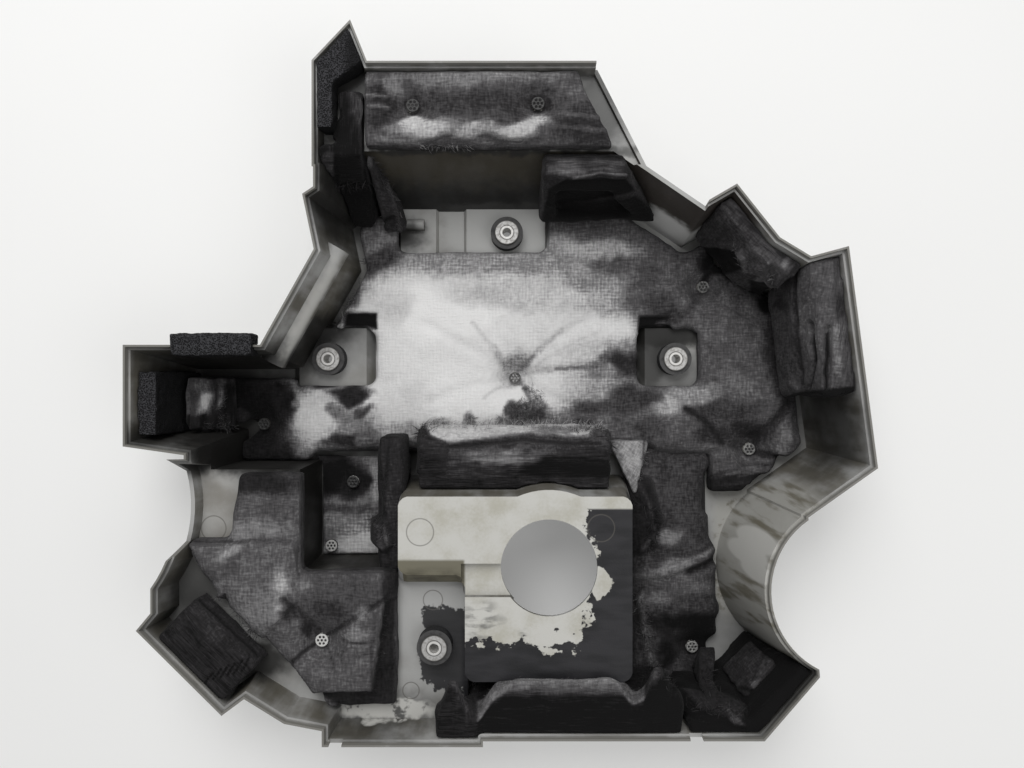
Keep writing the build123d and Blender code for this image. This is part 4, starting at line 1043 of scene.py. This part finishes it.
left_flap_strokes = (
    (fold(18, (205, 360), (205, 450)), (-7, 0, 22, 0, 1), None),
    (dab(230, 405, 7, 40), 0, 0.98),
    (dab(210, 395, 8, 24), 0, 0.7),
    (dab(217, 402, 6, 14), 2.0, 0.12),
    (dab(214, 386, 6, 8), 0, 0.56),
    (patch(3, (200, 416), (240, 414), (240, 440), (200, 440)), 0, 0.88),
    (fold(3, (217, 376), (219, 396), (217, 420)), -1.2, 0.86),
) + tuple((fold(1.3, (208 + 6 * i, 414), (207 + 6 * i, 436)), -1.4, 1.05) for i in range(5))
wall_pads = (
    ("right_wall_block", "right_wall_pad", (-1, 0, 0.6), [(0.98, 0.15, 0), down], 82, 0.68,
     right_wall_strokes),
    ("diagonal_wall_fleece", "diagonal_wall_pad", (-0.6, -0.8, 0.4), [(0.6, 0.8, 0), down], -42, 0.74,
     diagonal_strokes),
    ("front_wall_fleece", "front_wall_pad", (0, 1, 0.3), [(0, -1, 0), down], 0, 0.9, front_strokes),
    ("corner_wall_fleece", "corner_wall_pad", (-0.5, 0.7, 0.4), [(0.6, -0.75, 0), (0, -1, 0), down], 30, 1.06,
     corner_strokes),
    ("corner_strap_scrap", "corner_strap", (0, 1, 0.2), [(0, -1, 0), down], 70, 0.86, strap_strokes),
    ("corner_patch_scrap", "corner_patch", (-0.7, 0.7, 0.2), [(0.7, -0.7, 0)], 40, 0.82,
     corner_patch_strokes),
    ("ramp_felt", "tower_felt", (1, 0, 0), [(0, 1, 0), down], 90, 0.88, felt_strokes),
    ("ramp_flap", "corner_flap", (0.2, -1, 0.4), [(0, 1, 0)], 75, 0.82, flap_strokes),
    ("house_foam", "house_block", (0, -1, 0.6), [(0, 1, 0)], 0, 0.82, house_strokes),
    ("wing_foam", "wing_block", (0.7, 0.7, 0), [(-0.7, -0.7, 0), down], -45, 0.82, wing_strokes),
    ("well_roll_foam", "well_roll", (0, 1, 0.1), [(0, -1, 0), down], 0, 0.76, roll_strokes),
    ("well_flap_scrap", "well_flap", up, [down], 60, 0.4, well_flap_strokes),
    ("left_flap_scrap", "left_flap", up, [down], 90, 0.7, left_flap_strokes),
)
for name, node, face, glued, grain, base, strokes in wall_pads:
    pad = foam_skin(name, node, voxel=0.0026, rounds=3)
    puff(pad, glued, most=0.002)
    refine(pad)
    lay(pad, face, glued, grain, woven=0, base=base, strokes=strokes, waves=1.6)
    fit(pad, node, fleece)
    soft_pads[name] = pad


# Open-cell foam, black and speckled with pores, fills the tower's corner, lines the left lobe's wall and
# is pushed over its rim. It is cut from sheet, so its faces are open and its edges crumble.
open_foam, shader, place = new_finish("open_cell_foam")
cells = place.node("ShaderNodeTexVoronoi", {}, {"Vector": place, "Scale": 1050.0}, "Distance")
crumbs = cloud(place, 1300, 3)
facing_z = axes(place.node("ShaderNodeNewGeometry", {}, {}, "Normal"))[2]
# the pores' pale speckle is painted on upward faces only, as painted light on the lit tops, and is mostly
# left off the tower's right end, which is painted shadow
shaded_end = rise(axes(place)[0], -0.118, -0.110)
lit_top_face = rise(facing_z + cloud(place, 60, 4) * 0.3, 0.5, 0.95) * (1 - shaded_end * 0.85)
speckle = rise(cells + crumbs * 0.6, 0.62, 1.0) * lit_top_face
feed(
    shader,
    Base_Color=blend(speckle, (0.0065, 0.0065, 0.007), (0.048, 0.048, 0.052)),
    Normal=bump(cells + crumbs * 0.5, 0.0012),
)
shader.inputs["Roughness"].default_value = 0.9
shader.inputs["Specular IOR Level"].default_value = 0.2
for name, node in (
    ("tower_open_foam", "tower_foam"),
    ("lobe_open_foam", "left_wall_pad"),
    ("rim_open_foam", "edge_strip"),
):
    pad = foam_skin(name, node, voxel=0.002, rounds=2)
    refine(pad)
    points, normals = points_of(pad)
    crumbled = 0.0007 * mottle(points, 0.012, 8) + 0.0006 * mottle(points, 0.003, 9)
    move_points(pad, points + normals * crumbled[:, None])
    fit(pad, node, open_foam)


# Ten studs of the moulding hold the pads down. A welding tool has flattened the end of each one to a pale
# button with seven small pits, and soot has blackened some of them.
head_size = 0.88
button_radius = 5.3
button_height = 0.9
worn_corner = 0.35
pit_radius = 0.95
pit_edge = 0.15
pit_depth = 0.7
pit_circle = 3.0
pit_places = [(0, 0)]
for i in range(6):
    pit_places.append((pit_circle * math.cos(i * math.pi / 3), pit_circle * math.sin(i * math.pi / 3)))
button = bmesh.new()
pit_layer = button.verts.layers.float.new("pit")
around = 48
rings = []
for ring_radius in (0.35, 0.8, 1.1, 1.5, 1.9, 2.2, 2.6, 3.0, 3.4, 3.8, 4.1, 4.5, 5.0, button_radius):
    ring = []
    for a in range(around):
        ring_x = ring_radius * math.cos(2 * math.pi * a / around)
        ring_y = ring_radius * math.sin(2 * math.pi * a / around)
        nearest = min(math.hypot(ring_x - pit_x, ring_y - pit_y) for pit_x, pit_y in pit_places)
        depth = min(max((pit_radius + pit_edge - nearest) / (2 * pit_edge), 0), 1)
        corner = worn_corner if ring_radius == button_radius else 0
        point = button.verts.new((ring_x, ring_y, button_height - pit_depth * depth - corner))
        point[pit_layer] = depth
        ring.append(point)
    rings.append(ring)
skirt = [button.verts.new((point.co.x, point.co.y, 0)) for point in rings[-1]]
for inner, outer in zip(rings, rings[1:] + [skirt]):
    for a in range(around):
        button.faces.new((inner[a - 1], outer[a - 1], outer[a], inner[a]))
button.faces.new(rings[0])
button.faces.new(skirt[::-1])
bmesh.ops.recalc_face_normals(button, faces=button.faces)


def as_template(name, shape):
    """An object that holds a shape to be planted on points."""
    mesh = bpy.data.meshes.new(name)
    shape.to_mesh(mesh)
    shape.free()
    template = bpy.data.objects.new(name, mesh)
    scene.collection.objects.link(template)
    return template


button_template = as_template("weld_button", button)

welded, shader, place = new_finish("welded_heads")
pit = stored(place, "pit")
soil = stored(place, "soil")
grime = rise(soil + (cloud(place, 500, 5) - 0.5) * 0.7, 0.15, 0.85)
colour = blend(grime, (0.5, 0.495, 0.48), (0.018, 0.0175, 0.017))
# the seven pits are painted near black, as painted shade in their hollows
feed(shader, Base_Color=blend(pit, colour, (0.006, 0.006, 0.006)), Normal=bump(cloud(place, 600, 3), 0.0004))
shader.inputs["Roughness"].default_value = 0.55


def planting(name, template, finish):
    """A tree that plants a shape on points, sized by Size and their reach, turned to their lean."""
    group = bpy.data.node_groups.new(name, "GeometryNodeTree")
    group.interface.new_socket("Geometry", in_out="INPUT", socket_type="NodeSocketGeometry")
    size = group.interface.new_socket("Size", in_out="INPUT", socket_type="NodeSocketFloat")
    group.interface.new_socket("Geometry", in_out="OUTPUT", socket_type="NodeSocketGeometry")

    def node(kind, links, **settings):
        made = group.nodes.new(kind)
        for setting, value in settings.items():
            setattr(made, setting, value)
        for socket, value in links.items():
            if isinstance(value, bpy.types.NodeSocket):
                group.links.new(value, made.inputs[socket])
            else:
                made.inputs[socket].default_value = value
        return made.outputs

    entry = node("NodeGroupInput", {})
    shape = node("GeometryNodeObjectInfo", {"Object": template})
    reach = node("GeometryNodeInputNamedAttribute", {"Name": "reach"}, data_type="FLOAT")
    lean = node("GeometryNodeInputNamedAttribute", {"Name": "lean"}, data_type="FLOAT_VECTOR")
    turn = node("FunctionNodeAlignRotationToVector", {"Vector": lean["Attribute"]}, axis="Z")
    scale = node("ShaderNodeMath", {0: entry["Size"], 1: reach["Attribute"]}, operation="MULTIPLY")
    planted = node("GeometryNodeInstanceOnPoints", {
        "Points": entry["Geometry"],
        "Instance": shape["Geometry"],
        "Rotation": turn["Rotation"],
        "Scale": scale["Value"],
    })
    joined = node("GeometryNodeRealizeInstances", {"Geometry": planted["Instances"]})
    coated = node("GeometryNodeSetMaterial", {"Geometry": joined["Geometry"], "Material": finish})
    node("NodeGroupOutput", {"Geometry": coated["Geometry"]})
    return group, size.identifier


millimetre = 0.001


def plant(name, template, finish, slot, points, **values):
    """One piece with the shape planted on each point, which carries the named values."""
    mesh = bpy.data.meshes.new(name)
    mesh.from_pydata(points, [], [])
    for value_name, numbers in values.items():
        kind, field = ("FLOAT_VECTOR", "vector") if np.ndim(numbers) == 2 else ("FLOAT", "value")
        layer = mesh.attributes.new(value_name, kind, "POINT")
        layer.data.foreach_set(field, np.ravel(numbers).astype(float))
    piece = bpy.data.objects.new(name, mesh)
    scene.collection.objects.link(piece)
    group, size = planting(name, template, finish)
    planter = piece.modifiers.new("planter", "NODES")
    planter.node_group = group
    planter[size] = millimetre
    settle(piece)
    piece.data.shade_smooth()
    bpy.data.objects.remove(template)
    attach(piece, "root")


# how sooty each head is, in the order of the studs
head_soot = (0.7, 0.68, 0.6, 0.95, 1.3, 0.2, 0.5, 0.9, 0.95, 0.08)
head_count = len(stud_tops)
plant(
    "stud_heads", button_template, welded, "shell_plastic",
    [(a / 1000, b / 1000, c / 1000) for a, b, c in stud_tops],
    reach=np.full(head_count, head_size), lean=np.tile(up, (head_count, 1)), soil=np.array(head_soot),
)


# Torn edges of the fleece and the foam end in loose fibres, which stand in tufts on the roll, along the
# front ridge and wherever a scrap has been pulled off.
strand_bend = 0.3
third_turn = math.radians(120)
strand = bmesh.new()
rings = []
for height, radius in ((0, 0.03), (0.35, 0.028), (0.7, 0.02)):
    sides = [(radius * math.cos(a * third_turn), radius * math.sin(a * third_turn)) for a in range(3)]
    bent = strand_bend * height ** 2
    rings.append([strand.verts.new((side_x + bent, side_y, height)) for side_x, side_y in sides])
tip = strand.verts.new((strand_bend, 0, 1))
for low, high in zip(rings, rings[1:]):
    for a in range(3):
        strand.faces.new((low[a - 1], low[a], high[a], high[a - 1]))
for a in range(3):
    strand.faces.new((rings[-1][a - 1], rings[-1][a], tip))
strand.faces.new(rings[0][::-1])
fibre_template = as_template("fibre", strand)

# the pad and the place of each tuft, how many fibres it has, their length in millimetres and their soot
tufts = (
    ("well_roll_foam", fold(7, (424, 426), (470, 424), (520, 424), (600, 430)), 420, 6, 0.3),
    ("well_roll_foam", fold(5, (418, 434), (424, 424), (430, 432)), 60, 7, 0.8),
    ("well_roll_foam", fold(7, (578, 430), (604, 436), (612, 452)), 110, 6, 0.7),
    ("main_fleece", dab(524, 410, 15, 10), 330, 5, 0.62),
    ("main_fleece", dab(538, 398, 6, 12, 30), 90, 5, 0.56),
    ("main_fleece", dab(470, 420, 5, 5), 80, 4, 0.5),
    ("main_fleece", dab(440, 422, 7, 4), 90, 4, 0.35),
    ("main_fleece", dab(504, 419, 8, 4), 80, 4, 0.5),
    ("main_fleece", fold(8, (330, 330), (348, 300), (362, 262)), 120, 5, 0.6),
    ("front_wall_fleece", fold(8, (480, 692), (520, 684), (590, 684), (640, 694)), 300, 3, 0.5),
    ("front_wall_fleece", fold(6, (446, 676), (454, 667), (470, 684)), 100, 6, 0.7),
    ("front_wall_fleece", fold(6, (644, 688), (652, 666), (670, 684)), 100, 6, 0.8),
    ("ramp_felt", fold(5, (326, 184), (370, 183)), 160, 7, 0.86),
    ("ramp_flap", fold(5, (372, 154), (384, 180), (398, 215), (398, 236)), 160, 5, 0.7),
    ("left_flap_scrap", fold(10, (206, 428), (226, 426)), 120, 5, 0.7),
    ("left_flap_scrap", fold(6, (220, 400), (222, 424)), 60, 5, 0.6),
    ("strip_fleece", fold(7, (640, 598), (646, 635), (654, 676)), 240, 6, 0.6),
    ("strip_fleece", fold(7, (636, 500), (655, 516), (650, 545)), 160, 7, 0.9),
    ("diagonal_wall_fleece", fold(6, (736, 248), (748, 268), (766, 272), (774, 284)), 160, 5, 0.64),
    ("plateau_fleece", fold(5, (372, 690), (380, 650), (386, 604)), 120, 4, 0.8),
    ("plateau_fleece", fold(5, (208, 592), (236, 618), (270, 652)), 140, 5, 0.66),
    ("shelf_band", fold(4, (420, 147), (470, 148)), 110, 4, 0.4),
    ("bay_standing_strip", fold(5, (364, 524), (376, 518), (392, 545)), 110, 5, 0.72),
    ("corner_strap_scrap", dab(708, 680, 14, 16), 90, 6, 0.8),
    ("corner_wall_fleece", fold(6, (690, 706), (740, 716)), 130, 6, 0.8),
    ("well_flap_scrap", fold(4, (644, 438), (640, 490)), 60, 4, 0.5),
)
draw = np.random.default_rng(11)
root_points, leans, reaches, fibre_soot = [], [], [], []
for name, mark, count, length, soot_tone in tufts:
    points, normals = points_of(soft_pads[name])
    plan = seen(points)
    chance = mark(plan, plan) * np.clip(normals[:, 2] + 0.4, 0, 1)
    chosen = draw.choice(len(points), count, p=chance / chance.sum())
    root_points.append(points[chosen] + draw.normal(0, 0.0006, (count, 3)))
    leans.append(normals[chosen] * 0.7 + draw.normal(0, 0.75, (count, 3)) * (1, 1, 0.4))
    reaches.append(length * draw.uniform(0.5, 1.2, count))
    fibre_soot.append(soot_tone + draw.normal(0, 0.1, count))
fibre_count = sum(len(part) for part in root_points)
plant(
    "torn_fibres", fibre_template, fleece, "fleece", np.concatenate(root_points),
    reach=np.concatenate(reaches), lean=np.concatenate(leans), soot=np.concatenate(fibre_soot),
    cut=np.ones(fibre_count), weave=draw.uniform(0, 1, (fibre_count, 3)),
)


# The cover lies on a plain pale floor and is seen from straight above, under a bright even sky, a wide soft
# lamp at the back and a weak one at the front.
floor_reach = 6
floor_level = -0.0005
quarters = ((-1, -1), (1, -1), (1, 1), (-1, 1))
floor_corners = [(a * floor_reach, b * floor_reach, floor_level) for a, b in quarters]
floor_mesh = bpy.data.meshes.new("floor")
floor_mesh.from_pydata(floor_corners, [], [(0, 1, 2, 3)])
floor = bpy.data.objects.new("floor", floor_mesh)
scene.collection.objects.link(floor)
paper, shader, place = new_finish("pale_floor")
feed(shader, Base_Color=blend(cloud(place, 3, 2), (0.80, 0.80, 0.79), (0.84, 0.84, 0.83)))
shader.inputs["Roughness"].default_value = 0.8
ray_kinds = ("Camera", "Glossy", "Transmission")
rays = [place.node("ShaderNodeLightPath", {}, {}, f"Is {kind} Ray") for kind in ray_kinds]
glow = place.node("ShaderNodeEmission", {}, {"Color": (0.9, 0.9, 0.89, 1), "Strength": 1.0})
shaded = Socket(place.tree, shader.outputs[0])
lit = place.node("ShaderNodeMixShader", {}, {0: (rays[0] + rays[1] + rays[2]) * 0.22, 1: shaded, 2: glow})
place.tree.links.new(lit.socket, place.tree.nodes["Material Output"].inputs["Surface"])
floor_mesh.materials.append(paper)

sky = bpy.data.worlds.new("sky")
sky.use_nodes = True
sky.node_tree.nodes["Background"].inputs["Color"].default_value = (1, 1, 1, 1)
sky.node_tree.nodes["Background"].inputs["Strength"].default_value = 0.44
scene.world = sky
for name, lamp_place, size, power in (
    ("window", (-0.25, 1.1, 1.5), 1.2, 25),
    ("fill", (0.9, -0.5, 1.4), 1.0, 5),
):
    lamp_data = bpy.data.lights.new(name, "AREA")
    lamp_data.size = size
    lamp_data.energy = power
    lamp = bpy.data.objects.new(name, lamp_data)
    lamp.location = lamp_place
    direction = -lamp.location
    lamp.rotation_euler = direction.to_track_quat("-Z", "Y").to_euler()
    scene.collection.objects.link(lamp)

camera_data = bpy.data.cameras.new("camera")
camera_data.sensor_width = 36
camera_data.lens = camera_data.sensor_width * view_depth / (2 * view_middle[0])
camera = bpy.data.objects.new("camera", camera_data)
camera.location = (0, 0, view_height)
scene.collection.objects.link(camera)
scene.camera = camera
scene.view_settings.view_transform = "Standard"
